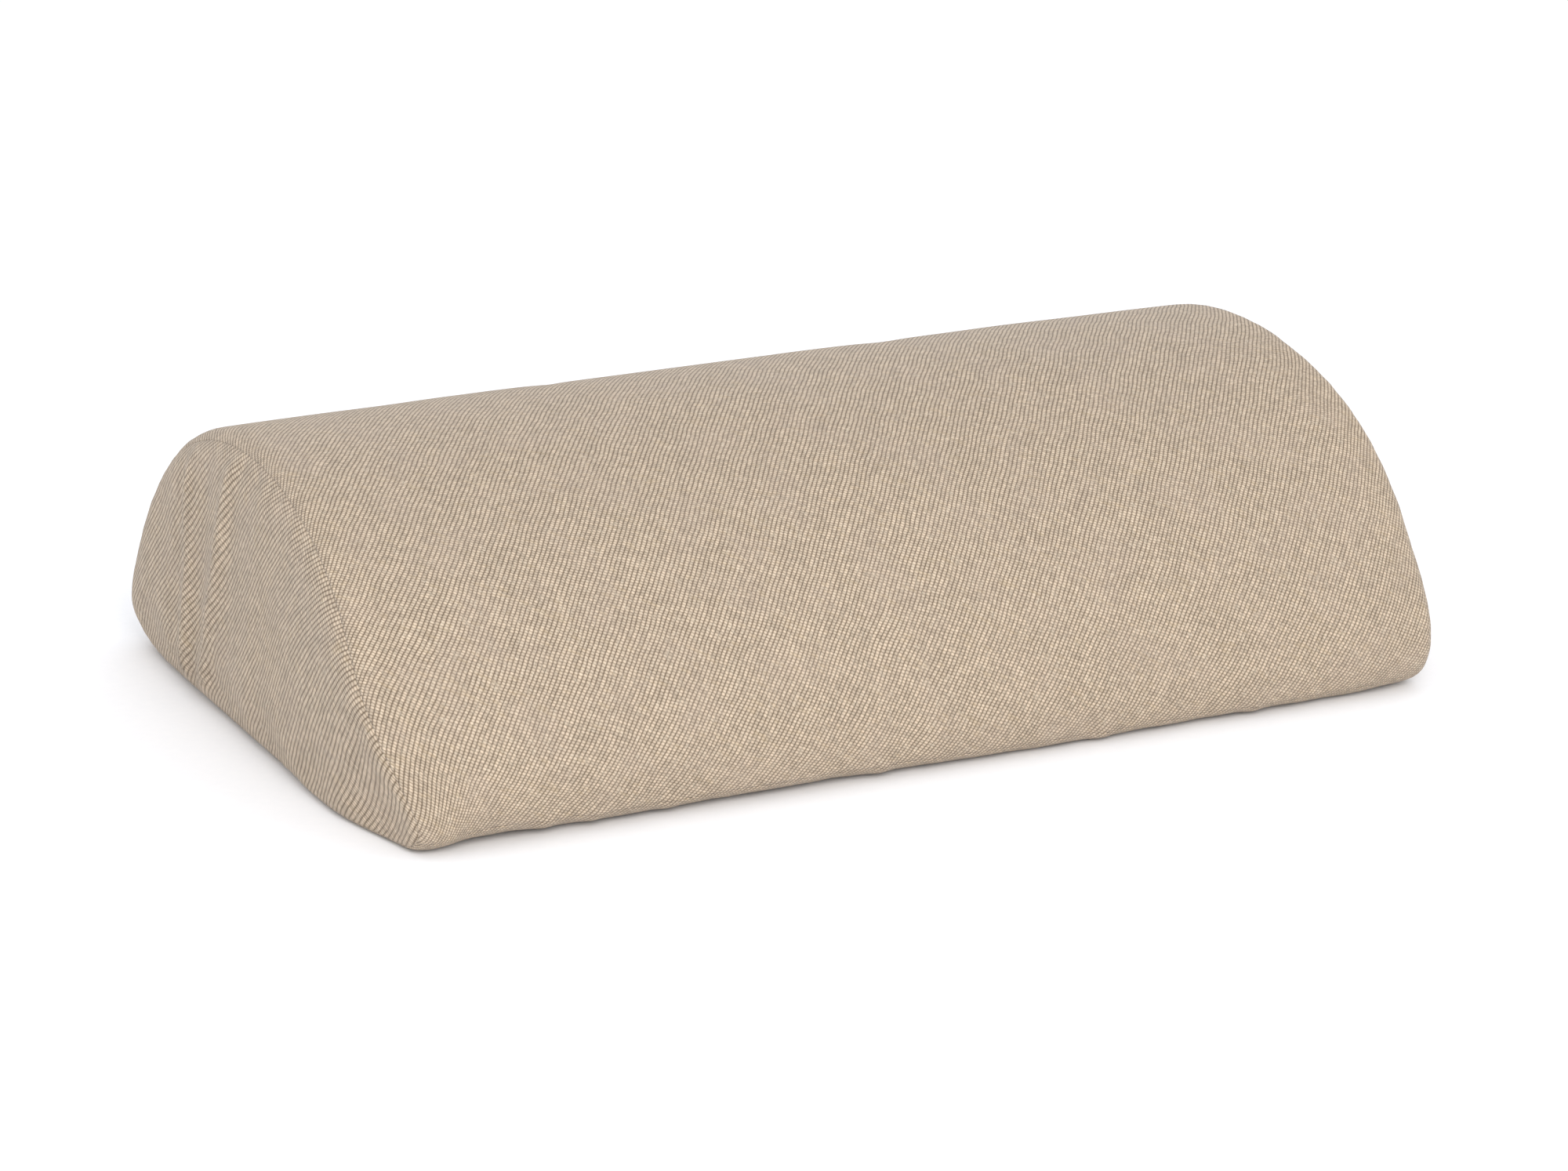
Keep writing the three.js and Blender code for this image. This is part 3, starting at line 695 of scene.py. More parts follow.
def sculpt(mesh, shape):
    """Adds the soft folds that sewing and handling leave, and pulls in the base's four corners."""
    points, ways = positions(mesh), normals_of(mesh)
    x, y, z = points.T
    half_length, half_depth = shape.length / 2, shape.depth / 2
    above = smooth_step(6 * MM, 22 * MM, z)
    out = np.zeros(len(points))

    # Two pinched folds stand up the rear half of each end panel, and the cloth sinks beside them.
    near_end = smooth_step(half_length - 9 * MM, half_length - 1 * MM, np.abs(x))
    reach = (np.abs(y) / half_depth) ** 2 + (z / shape.height) ** 1.65
    inside = near_end * smooth_step(1.0, 0.78, reach) * smooth_step(3 * MM, 14 * MM, z)
    for foot, lean, width, rise in FOLDS:
        across = y - foot * MM + lean * z
        out += rise * MM * bell(across, width * MM) * inside * np.where(x < 0, 1.0, 0.7)
    out += 0.3 * MM * rough(points, 30 * MM, 11) * inside
    across = y + 119 * MM + 0.68 * (z - 36 * MM)
    out -= 0.9 * MM * bell(across, 4 * MM) * bell(z - 36 * MM, 15 * MM) * near_end * (x < 0)

    # Long low waves slant down the wrap from the ridge.
    on_wrap = smooth_step(half_length - 4 * MM, half_length - 30 * MM, np.abs(x)) * above
    turn = np.arctan2(z - 20 * MM, -y)
    for centre, lean, width, rise in WAVES:
        line = centre * MM + lean * MM * (1.2 - turn)
        fade = smooth_step(0.1, 0.5, turn) * smooth_step(1.75, 1.2, turn)
        out += rise * MM * bell(x - line, width * MM) * on_wrap * fade
    out += 0.4 * MM * rough(points, 70 * MM, 5) * above

    # Little tucks pull in above the long base seams, and a few tufts stand out at the front's foot.
    along = smooth_step(half_length - 2 * MM, half_length - 16 * MM, np.abs(x))
    low = bell(z - 14 * MM, 10 * MM) * along
    for centre, depth in TUCKS:
        out -= depth * MM * bell(x - centre * MM, 6 * MM) * low
    foot = bell(z - 4 * MM, 4 * MM) * (y < 0) * along
    for centre in TUFTS:
        out += 0.9 * MM * bell(x - centre * MM, 4 * MM) * foot
    points = points + ways * out[:, None]

    # Both ends lean in a little towards the top.
    lean_in = smooth_step(18 * MM, 60 * MM, z) * smooth_step(half_length - 24 * MM, half_length, np.abs(x))
    points[:, 0] -= np.where(x < 0, -1.6, 3.0) * MM * lean_in

    # The front left corner is pulled in furthest, and its toe stands a little forward.
    for side_x, side_y, pull_x, pull_y, reach, tall, drawn in CORNERS:
        corner_x, corner_y = half_length - side_x * x, half_depth - side_y * y
        near = bell(corner_x, 26 * MM) * bell(corner_y, reach * MM) * bell(z - 4 * MM, tall * MM)
        draw = bell(corner_x, 24 * MM) * bell(z - 54 * MM, 34 * MM) * smooth_step(0, 70 * MM, side_y * y)
        points[:, 0] -= side_x * pull_x * MM * near
        points[:, 1] -= side_y * (pull_y * near + drawn * draw) * MM

    # The front's long edge stands a hair off the floor beside that toe.
    lift = bell(y + half_depth, 16 * MM) * smooth_step(40 * MM, -60 * MM, x)
    lift *= 1 + 0.8 * bell(x + half_length - 46 * MM, 20 * MM)
    lift *= smooth_step(-half_length + 14 * MM, -half_length + 34 * MM, x)
    lift += bell(y + half_depth, 16 * MM) * bell(half_length - x, 30 * MM)
    points[:, 2] += 1.8 * MM * lift * smooth_step(30 * MM, 8 * MM, z)
    points[:, 2] = np.maximum(points[:, 2], 0)
    move_to(mesh, points)


def lay_on_grain(mesh, grain, opening=1.0):
    """Turns a panel's pattern on the cloth, whose threads run off the cushion's axes; where the cloth
    is stretched, its threads stand further apart."""
    u, v = cloth_map(mesh).T / opening
    cosine, sine = math.cos(grain), math.sin(grain)
    set_cloth_map(mesh, np.stack([u * cosine - v * sine, u * sine + v * cosine], 1))


# ---- pieces cut from the form -----------------------------------------------------------------


def pattern_of(mesh, faces):
    """Width, length and area of the flat pattern of these faces, before it is laid on the grain."""
    at = cloth_map(mesh).astype(float)
    quads = np.array([[at[k] for k in mesh.polygons[f].loop_indices] for f in faces])
    u, v = quads[:, :, 0], quads[:, :, 1]
    area = np.abs((u * np.roll(v, -1, 1) - v * np.roll(u, -1, 1)).sum(1)).sum() / 2
    width, height = np.ptp(u), np.ptp(v)
    return (float(width), float(height)), float(min(area, width * height))


def cut_panel(source, wanted):
    """The faces of some panels, as a mesh of their own."""
    mesh = source.copy()
    panel = panels_of(mesh)
    work = bmesh.new()
    work.from_mesh(mesh)
    work.faces.ensure_lookup_table()
    unwanted = [f for f, p in zip(work.faces, panel) if p not in wanted]
    bmesh.ops.delete(work, geom=unwanted, context="FACES")
    work.to_mesh(mesh)
    work.free()
    return mesh


def turn_edges_in(mesh, band, depth):
    """Rolls a panel's raw edge down into its seam, over a narrow band."""
    work = bmesh.new()
    work.from_mesh(mesh)
    work.normal_update()
    bmesh.ops.inset_region(
        work,
        faces=work.faces[:],
        thickness=band,
        use_boundary=True,
        use_even_offset=True,
        use_interpolate=True,
    )
    work.normal_update()
    for vertex in work.verts:
        if vertex.is_boundary:
            inside = sum((e.other_vert(vertex).co for e in vertex.link_edges if not e.is_boundary), Vector())
            inside /= max(1, sum(not e.is_boundary for e in vertex.link_edges))
            vertex.co = vertex.co.lerp(inside, 0.02) - vertex.normal * depth
    work.to_mesh(mesh)
    work.free()


def pucker(mesh, edge, reach, depth):
    """Gathers the cloth finely within reach of its seams."""
    points, ways = positions(mesh), normals_of(mesh)
    tree = KDTree(len(edge))
    for k, p in enumerate(edge):
        tree.insert(p, k)
    tree.balance()
    far = np.array([tree.find(p)[2] for p in points])
    close = np.exp(-((far / reach) ** 2)) * smooth_step(0.5 * MM, 2.5 * MM, points[:, 2])
    fine = rough(points, 6.5 * MM, 9)
    move_to(mesh, points + ways * (depth * fine * close)[:, None])


# ---- materials --------------------------------------------------------------------------------


def add(tree, kind, inputs=(), **settings):
    """Adds a node with its settings; each input is a value or the socket that it is linked from."""
    node = tree.nodes.new(kind)
    for key, value in settings.items():
        setattr(node, key, value)
    for key, value in dict(inputs).items():
        socket = node.inputs[key]
        if isinstance(value, bpy.types.NodeSocket):
            tree.links.new(value, socket)
        elif socket.type == "RGBA":
            socket.default_value = (*value, 1)
        else:
            socket.default_value = value
    return node


def finish_of(name, roughness, ior=1.5, sheen=0.0):
    """A material and its shader, with what is the same all over set on the shader's own sockets."""
    material = bpy.data.materials.new(name)
    material.use_nodes = True
    tree = material.node_tree
    shader = tree.nodes["Principled BSDF"]
    shader.inputs["Roughness"].default_value = roughness
    shader.inputs["IOR"].default_value = ior
    shader.inputs["Sheen Weight"].default_value = sheen
    shader.inputs["Sheen Roughness"].default_value = 0.5
    return material, tree, shader


def weave(tree, rib, pick, wander, cross):
    """Ribs of round grains on the cloth's own map, each rib a little out of step with the next:
    the height, 0 to 1, and the numbers of the threads."""
    at = add(tree, "ShaderNodeUVMap", uv_map=CLOTH_MAP).outputs[0]
    for size, share in ((16 * MM, 1.0), (4 * MM, 0.3)):
        drift = add(
            tree,
            "ShaderNodeTexNoise",
            {"Vector": at, "Scale": 1 / size, "Detail": 0.0},
            noise_dimensions="2D",
        ).outputs["Color"]
        shift = add(
            tree, "ShaderNodeVectorMath", {0: drift, 1: (-0.5, -0.5, -0.5)}, operation="ADD"
        ).outputs[0]
        shift = add(
            tree, "ShaderNodeVectorMath", {0: shift, "Scale": wander * share}, operation="SCALE"
        ).outputs[0]
        at = add(tree, "ShaderNodeVectorMath", {0: at, 1: shift}, operation="ADD").outputs[0]
    parts = add(tree, "ShaderNodeSeparateXYZ", {0: at}).outputs
    values = {"u": parts[0], "v": parts[1]}
    for name, operation, *operands in (
        ("across", "DIVIDE", "u", rib),
        ("warp_number", "FLOOR", "across"),
        ("step", "MULTIPLY", "warp_number", GRAIN_STEP),
        ("along", "DIVIDE", "v", pick),
        ("weft_number", "FLOOR", "along"),
        ("stepped", "ADD", "along", "step"),
        ("grain_number", "FLOOR", "stepped"),
        ("across_turn", "MULTIPLY", "across", math.pi),
        ("along_turn", "MULTIPLY", "stepped", math.pi),
        ("across_sine", "SINE", "across_turn"),
        ("along_sine", "SINE", "along_turn"),
        ("across_bow", "ABSOLUTE", "across_sine"),
        ("along_bow", "ABSOLUTE", "along_sine"),
        ("rib_height", "POWER", "across_bow", 0.7),
        ("grain_height", "POWER", "along_bow", 0.7),
        ("grain_share", "MULTIPLY_ADD", "grain_height", cross, 1 - cross),
        ("height", "MULTIPLY", "rib_height", "grain_share"),
    ):
        inputs = {k: values.get(value, value) for k, value in enumerate(operands)}
        values[name] = add(tree, "ShaderNodeMath", inputs, operation=operation).outputs[0]
    return values


def along_thread(tree, number, along, apart, length):
    """A value of 0 to 1 that drifts along each thread, or each fibre, over about that length."""
    across = add(tree, "ShaderNodeMath", {0: number, 1: apart}, operation="MULTIPLY").outputs[0]
    down = add(tree, "ShaderNodeMath", {0: along, 1: 1 / length}, operation="MULTIPLY").outputs[0]
    at = add(tree, "ShaderNodeCombineXYZ", {0: across, 1: down}).outputs[0]
    return add(
        tree, "ShaderNodeTexNoise", {"Vector": at, "Scale": 1.0, "Detail": 1.0}, noise_dimensions="2D"
    ).outputs["Fac"]


def woven_upholstery(cloth):
    """Polyester and linen upholstery cloth, woven from thick slubby yarn: matt, with light crowns
    on the threads, shade in the gaps between them, and a faint bloom of loose fibre."""
    material, tree, shader = finish_of("woven_slub_upholstery", 0.9, 1.45, sheen=0.12)
    values = weave(tree, cloth.rib, cloth.pick, 0.9 * MM, 0.75)
    crown = add(
        tree, "ShaderNodeMapRange", {"Value": values["height"], "From Min": 0.15, "From Max": 0.85}
    ).outputs[0]
    tint = add(tree, "ShaderNodeMix", {0: crown, 6: cloth.gap, 7: cloth.thread}, data_type="RGBA").outputs[2]
    grain = add(
        tree, "ShaderNodeCombineXYZ", {0: values["warp_number"], 1: values["grain_number"]}
    ).outputs[0]
    # Each grain is a little lighter or darker, and so is each thread for a stretch.
    for tone, low, high, darkest, lightest in (
        (
            add(tree, "ShaderNodeTexWhiteNoise", {"Vector": grain}, noise_dimensions="2D").outputs["Value"],
            0.0, 1.0, 0.86, 1.14,
        ),
        (along_thread(tree, values["warp_number"], values["v"], 3.71, 14 * MM), 0.3, 0.7, 0.95, 1.05),
        (along_thread(tree, values["weft_number"], values["u"], 3.37, 9 * MM), 0.35, 0.75, 0.96, 1.06),
    ):
        shade = add(
            tree,
            "ShaderNodeMapRange",
            {"Value": tone, "From Min": low, "From Max": high, "To Min": darkest, "To Max": lightest},
        ).outputs[0]
        tint = add(
            tree, "ShaderNodeMix", {0: 1.0, 6: tint, 7: shade}, data_type="RGBA", blend_type="MULTIPLY"
        ).outputs[2]
    at = add(tree, "ShaderNodeUVMap", uv_map=CLOTH_MAP).outputs[0]
    patches = add(
        tree,
        "ShaderNodeTexNoise",
        {"Vector": at, "Scale": 1 / (22 * MM), "Detail": 2.0},
        noise_dimensions="2D",
    ).outputs["Fac"]
    weft, warp = values["v"], values["u"]
    # Straw-coloured slubs run along the weft, greyer patches lie where the yarn was dyed less evenly,
    # and pale fibres lie along both threads, drawn about twice as thick as they are so that they show.
    for value, low, high, most, paint in (
        (along_thread(tree, values["weft_number"], values["u"], 5.13, 9 * MM), 0.64, 0.74, 0.22, cloth.slub),
        (patches, 0.45, 0.7, 0.14, cloth.dusk),
        (along_thread(tree, warp, weft, 1 / (0.42 * MM), 5 * MM), 0.66, 0.76, 0.32, cloth.fibre),
        (along_thread(tree, weft, warp, 1 / (0.42 * MM), 4 * MM), 0.66, 0.76, 0.28, cloth.fibre),
    ):
        share = add(
            tree,
            "ShaderNodeMapRange",
            {"Value": value, "From Min": low, "From Max": high, "To Max": most},
        ).outputs[0]
        tint = add(tree, "ShaderNodeMix", {0: share, 6: tint, 7: paint}, data_type="RGBA").outputs[2]
    tree.links.new(tint, shader.inputs["Base Color"])
    bump = add(
        tree, "ShaderNodeBump", {"Strength": 0.6, "Distance": 0.3 * MM, "Height": values["height"]}
    ).outputs[0]
    tree.links.new(bump, shader.inputs["Normal"])
    return material


def fine_weave(name, rib, pick, thread, gap, roughness, sheen, relief):
    """A plainer cloth woven from even thread, such as a liner, a tape or a label, with painted shade
    in the gaps between its threads.
    """
    material, tree, shader = finish_of(name, roughness, 1.5, sheen=sheen)
    values = weave(tree, rib, pick, 0.3 * MM, 0.95)
    crown = add(
        tree, "ShaderNodeMapRange", {"Value": values["height"], "From Min": 0.1, "From Max": 0.8}
    ).outputs[0]
    # The colour runs from painted shade in the gaps to the thread's own colour on the crowns.
    tint = add(
        tree, "ShaderNodeMix", {0: crown, 6: linear(gap), 7: linear(thread)}, data_type="RGBA"
    ).outputs[2]
    tree.links.new(tint, shader.inputs["Base Color"])
    bump = add(
        tree, "ShaderNodeBump", {"Strength": 0.6, "Distance": relief, "Height": values["height"]}
    ).outputs[0]
    tree.links.new(bump, shader.inputs["Normal"])
    return material


def solid_finish(name, roughness, ior, pattern, first, second, relief):
    """A solid material's finish: two tones and a little relief, both from one pattern on its own
    coordinates. The pattern is a node's kind, its inputs and its settings."""
    material, tree, shader = finish_of(name, roughness, ior)
    kind, inputs, settings = pattern
    at = add(tree, "ShaderNodeTexCoord").outputs["Object"]
    made = add(tree, kind, {"Vector": at, **inputs}, **settings).outputs[0]
    tones = {0: made, 6: linear(first), 7: linear(second)}
    tint = add(tree, "ShaderNodeMix", tones, data_type="RGBA").outputs[2]
    tree.links.new(tint, shader.inputs["Base Color"])
    bump = add(tree, "ShaderNodeBump", {"Strength": 0.5, "Distance": relief, "Height": made}).outputs[0]
    tree.links.new(bump, shader.inputs["Normal"])
    return material, shader


def cut_foam():
    """Open-cell polyurethane foam, cut from a block with a hot wire: pale, matt, and full of
    cells about 0.8 mm across, each drawn darker towards its middle as painted shade in its hollow."""
    # Each cell's middle sinks in the relief and takes the darker tone there: painted shade.
    cells = ("ShaderNodeTexVoronoi", {"Scale": 1 / (0.8 * MM)}, {})
    return solid_finish("hot_wire_cut_polyurethane_foam", 0.95, 1.4, cells, "B9AE93", "F1EAD6", 0.3 * MM)[0]


def moulded_nylon():
    """Nylon 6 monofilament, drawn and heat-set into a coil: smooth, a little glossy, and unevenly
    dyed over some millimetres."""
    uneven = ("ShaderNodeTexNoise", {"Scale": 1 / (6 * MM), "Detail": 2.0}, {})
    return solid_finish("drawn_nylon_monofilament", 0.38, 1.53, uneven, "A8957C", "CDBB9F", 0.02 * MM)[0]


def painted_zinc():
    """Zinc alloy, die-cast and barrel-painted: an even satin coat over slightly wavy metal, rubbed
    a little lighter in places."""
    wear = ("ShaderNodeTexNoise", {"Scale": 1 / (3 * MM), "Detail": 4.0}, {})
    material, shader = solid_finish("die_cast_painted_zinc", 0.34, 1.5, wear, "9C8970", "BFAF95", 0.05 * MM)
    shader.inputs["Coat Weight"].default_value = 0.3
    shader.inputs["Coat Roughness"].default_value = 0.2
    return material


def twisted_thread():
    """Spun polyester sewing thread, two plies twisted together: matt, with a slanting line of painted
    shade where the plies meet, drawn a little coarser than it is so that it shows."""
    # Each ply goes lighter on its crown and darker in the groove beside it: painted shade.
    plies = ("ShaderNodeTexWave", {"Scale": 1 / (9 * MM), "Distortion": 0.5}, {"bands_direction": "DIAGONAL"})
    return solid_finish("spun_polyester_thread", 0.8, 1.5, plies, "A99578", "D8C8AE", 0.05 * MM)[0]


def studio_paper():
    """Matt white paper roll, with the faintest tooth: it goes to pure white under the lamps and
    takes a soft shade where the cushion stands."""
    tooth = ("ShaderNodeTexNoise", {"Scale": 1 / (4 * MM)}, {})
    material, shader = solid_finish("seamless_paper", 0.95, 1.4, tooth, "F8F9FB", "FDFDFE", 0.01 * MM)
    shader.inputs["Specular IOR Level"].default_value = 0.1
    return material


# ---- operators --------------------------------------------------------------------------------


class CUSHION_OT_stage(bpy.types.Operator):
    """Lays the floor, hangs the lights and sets up the camera"""

    bl_idname = "cushion.stage"
    bl_label = "Stage"

    def execute(self, context):
        scene, stage = context.scene, context.scene.cushion_stage
        scene.view_settings.view_transform = "Standard"
        world = bpy.data.worlds.new("soft_room")
        world.use_nodes = True
        world.node_tree.nodes["Background"].inputs[0].default_value = (*linear("FBFCFF"), 1)
        world.node_tree.nodes["Background"].inputs[1].default_value = stage.sky
        scene.world = world
        half = 12.0
        corners = [(-half, -half, 0), (half, -half, 0), (half, half, 0), (-half, half, 0)]
        mesh = bpy.data.meshes.new("floor")
        mesh.from_pydata(corners, [], [(0, 1, 2, 3)])
        floor = bpy.data.objects.new("floor", mesh)
        floor.location.z = -0.15 * MM  # just clear of the base panel
        mesh.materials.append(studio_paper())
        scene.collection.objects.link(floor)
        lamp = bpy.data.lights.new("key_softbox", "AREA")
        lamp.energy, lamp.size, lamp.shape = stage.key, 1.4, "DISK"
        softbox = bpy.data.objects.new("key_softbox", lamp)
        softbox.location = (-0.55, -2.2, 1.4)
        softbox.rotation_euler = (-softbox.location).to_track_quat("-Z", "Y").to_euler()
        scene.collection.objects.link(softbox)
        camera = bpy.data.objects.new("camera", bpy.data.cameras.new("camera"))
        middle = Vector((0, 0, (CAD_LOW.z + CAD_HIGH.z) / 2))
        flat = math.cos(stage.elevation)
        back = Vector(
            (math.sin(stage.azimuth) * flat, -math.cos(stage.azimuth) * flat, math.sin(stage.elevation))
        )
        camera.location = middle + back * stage.distance
        camera.rotation_euler = (-back).to_track_quat("-Z", "Y").to_euler()
        camera.data.lens = stage.lens
        camera.data.sensor_width = 36
        camera.data.shift_x, camera.data.shift_y = 0.0065, -0.041
        camera.data.clip_start, camera.data.clip_end = 0.05, 50
        scene.collection.objects.link(camera)
        scene.camera = camera
        return {"FINISHED"}


class CUSHION_OT_form(bpy.types.Operator):
    """Shapes the filled cover: a closed cloth that swells round the foam, then settles in folds"""

    bl_idname = "cushion.form"
    bl_label = "Filled form"

    def execute(self, context):
        shape = context.scene.cushion_shape
        coarse, plan = closed_form(shape, context.scene.cushion_zip)
        swell(coarse, shape, plan)
        mesh = with_modifiers(coarse, ("SUBSURF", {"levels": 1}))
        bpy.data.meshes.remove(coarse)
        mesh.name = FORM
        mesh.use_fake_user = True
        sculpt(mesh, shape)
        return {"FINISHED"}


class CUSHION_OT_cover(bpy.types.Operator):
    """Cuts the cover's panels from the form, with thick cloth and edges rolled into the seams"""

    bl_idname = "cushion.cover"
    bl_label = "Woven cover"

    def execute(self, context):
        scene = context.scene
        shape, cloth = scene.cushion_shape, scene.cushion_cloth
        material = woven_upholstery(cloth)
        form = bpy.data.meshes[FORM]
        panel = panels_of(form)
        for which, name in enumerate(PANELS[:OPENING]):
            flat, area = pattern_of(form, np.flatnonzero(panel == which))
            mesh = cut_panel(form, (which,))
            seams = open_edge_points(mesh)
            turn_edges_in(mesh, band=0.8 * MM, depth=0.07 * MM)
            if which != BASE:
                pucker(mesh, seams, reach=6 * MM, depth=0.3 * MM)
            if which in (END_LEFT, END_RIGHT):
                lay_on_grain(mesh, cloth.end_grain, cloth.end_open)
            else:
                lay_on_grain(mesh, cloth.grain)
            mesh = with_modifiers(
                mesh, ("SOLIDIFY", {"thickness": shape.cover, "offset": -1, "use_even_offset": True})
            )
            piece = show(
                name.replace("cover", "woven").replace("zip", "woven"),
                mesh,
                material,
                replaces=(name,),
            )
        return {"FINISHED"}


def open_edge_points(mesh):
    """Places of the points on a mesh's open edges."""
    work = bmesh.new()
    work.from_mesh(mesh)
    found = [v.co.copy() for v in work.verts if v.is_boundary]
    work.free()
    return found


def sunk(form, depth, hollow):
    """The form moved in by a depth, and further behind the zip."""
    mesh = form.copy()
    points, ways = positions(mesh), normals_of(mesh)
    origin, out, up = zip_axes()
    relative = points - np.array(origin)
    beside = np.abs(relative @ np.array(up))
    behind = smooth_step(26 * MM, 15 * MM, beside) * (np.abs(relative @ np.array(out)) < 12 * MM)
    tape_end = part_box("zip_tape_upper")[1].x
    along = smooth_step(tape_end + 14 * MM, tape_end + 3 * MM, np.abs(points[:, 0]))
    extra = hollow * behind * along * (points[:, 2] >= 0.1 * MM)
    move_to(mesh, points - ways * (depth + extra)[:, None])
    return mesh


class CUSHION_OT_liner(bpy.types.Operator):
    """Sews the thin liner between the cover and the foam"""

    bl_idname = "cushion.liner"
    bl_label = "Liner"

    def execute(self, context):
        scene = context.scene
        shape = scene.cushion_shape
        material = fine_weave(
            "spunbond_polyester_liner",
            rib=0.9 * MM,
            pick=0.9 * MM,
            thread="F0EEE8",
            gap="D5D1C8",
            roughness=0.85,
            sheen=0.1,
            relief=0.08 * MM,
        )
        form = sunk(bpy.data.meshes[FORM], shape.cover + LINER_GAP, scene.cushion_zip.hollow)
        panel = panels_of(form)
        for name, wanted in (
            ("liner_wrap", (WRAP, STRIP, TAB_LEFT, TAB_RIGHT, OPENING)),
            ("liner_base", (BASE,)),
            ("liner_end_left", (END_LEFT,)),
            ("liner_end_right", (END_RIGHT,)),
        ):
            flat, area = pattern_of(form, np.flatnonzero(np.isin(panel, wanted)))
            mesh = cut_panel(form, wanted)
            turn_edges_in(mesh, band=1.0 * MM, depth=0.1 * MM)
            mesh = with_modifiers(mesh, ("SOLIDIFY", {"thickness": shape.liner, "offset": -1}))
            piece = show(f"sewn_{name}", mesh, material, replaces=(name,))
        return {"FINISHED"}


class CUSHION_OT_foam(bpy.types.Operator):
    """Cuts the foam core, with its hollow behind the zip"""

    bl_idname = "cushion.foam"
    bl_label = "Foam core"

    def execute(self, context):
        scene = context.scene
        shape = scene.cushion_shape
        depth = shape.cover + shape.liner + FOAM_GAP
        mesh = sunk(bpy.data.meshes[FORM], depth, scene.cushion_zip.hollow)
        piece = show("cut_foam_core", mesh, cut_foam(), replaces=("foam_core",))
        return {"FINISHED"}


class CUSHION_OT_zip(bpy.types.Operator):
    """Makes the zip's tapes, coils and stops, and finishes its slider and pull tab"""

    bl_idname = "cushion.zip"
    bl_label = "Zip"

    def execute(self, context):
        zipper = context.scene.cushion_zip
        tape_cloth = fine_weave(
            "woven_polyester_tape",
            rib=0.9 * MM,
            pick=0.7 * MM,
            thread="C3B197",
            gap="97866D",
            roughness=0.75,
            sheen=0.15,
            relief=0.12 * MM,
        )
        nylon, zinc = moulded_nylon(), painted_zinc()
        for side, sign in (("upper", 1), ("lower", -1)):
            self.tape(zipper, side, sign, tape_cloth)
            self.coil(zipper, side, sign, nylon)
        for name in ("zip_top_stop_upper", "zip_top_stop_lower", "zip_bottom_stop"):
            self.clamp(name, zinc)
        for name in ("zip_slider", "zip_pull_tab"):
            node = frame["nodes"][name]
            node.data.materials.clear()
            node.data.materials.append(zinc)
            bevel = node.modifiers.new("Edges", "BEVEL")
            bevel.width, bevel.segments, bevel.limit_method = 0.18 * MM, 2, "ANGLE"
        return {"FINISHED"}

    def tape(self, zipper, side, sign, material):
        """A woven tape: flat where it shows, sinking under the cover, with a corded edge beside the coil."""
        low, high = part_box(f"zip_tape_{side}")
        half = (high.x - low.x) / 2
        thick = 0.6 * MM
        inner = 0.9 * MM  # from the zip's line to the tape's edge under the coil
        across = np.linspace(inner, inner + zipper.tape_width, 15)
        edge = zipper.opening / 2
        bend = zipper.tape_drop * np.clip((across - edge) / (across[-1] - edge), 0, 1)
        corded = 0.15 * MM * bell(across - inner - 0.8 * MM, 0.9 * MM)
        xs = np.linspace(-half, half, 98)
        points = [frame_point(x, c - b, sign * a) for x in xs for a, b, c in zip(across, bend, corded)]
        points += [frame_point(x, -b - thick, sign * a) for x in xs for a, b in zip(across, bend)]
        line, up = frame_point(0, 0, 0), zip_axes()[2]
        mesh = thin_sheet(points, [(p.x, (p - line).dot(up)) for p in points], len(xs), len(across))
        name = f"zip_tape_{side}"
        piece = show(f"woven_{name}", mesh, material, replaces=(name,))

    def coil(self, zipper, side, sign, material):
        """One side's coil: a flattened spring of nylon wire whose turns mesh with the other side's."""
        low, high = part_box(f"zip_coil_{side}")
        turns = int((high.x - low.x - 2 * zipper.wire) / zipper.coil_pitch)
        steps = 10  # points round one turn
        t = np.arange(turns * steps + 1) / steps
        shift = 0.25 * sign  # the two sides are half a turn apart, so that they mesh
        x = (t - turns / 2 + shift) * zipper.coil_pitch
        around = t * 2 * math.pi + math.pi / 2
        middle, reach = 1.0 * MM, 1.35 * MM  # the turns' middle off the zip's line, and their half width
        above, rise = 1.0 * MM, 0.42 * MM  # their middle out of the tapes' plane, and their half height
        across = sign * (middle - reach * np.sin(around))
        height = above + rise * np.cos(around)
        path = np.array([frame_point(a, b, c) for a, b, c in zip(x, height, across)])
        mesh = joined([tube(path, zipper.wire / 2, 6, (1, 0, 0))])
        show(f"nylon_coil_{side}", mesh, material, replaces=(f"zip_coil_{side}",))

    def clamp(self, name, material):
        """A stop: a small metal clamp, crimped round the tape's edge, with soft corners."""
        node = frame["nodes"][name]
        mesh = node.data.copy()
        mesh = with_modifiers(
            mesh, ("BEVEL", {"width": 0.3 * MM, "segments": 3, "limit_method": "ANGLE"})
        )
        show(f"crimped_{name}", mesh, material, replaces=(name,))


def surface_trees(names):
    """One tree of what these pieces look like, for laying things on them."""
    points, faces = [], []
    for name in names:
        mesh = bpy.data.objects[name].data
        start = len(points)
        points += [tuple(p) for p in positions(mesh)]
        faces += [tuple(start + v for v in f.vertices) for f in mesh.polygons]
    return BVHTree.FromPolygons(points, faces)


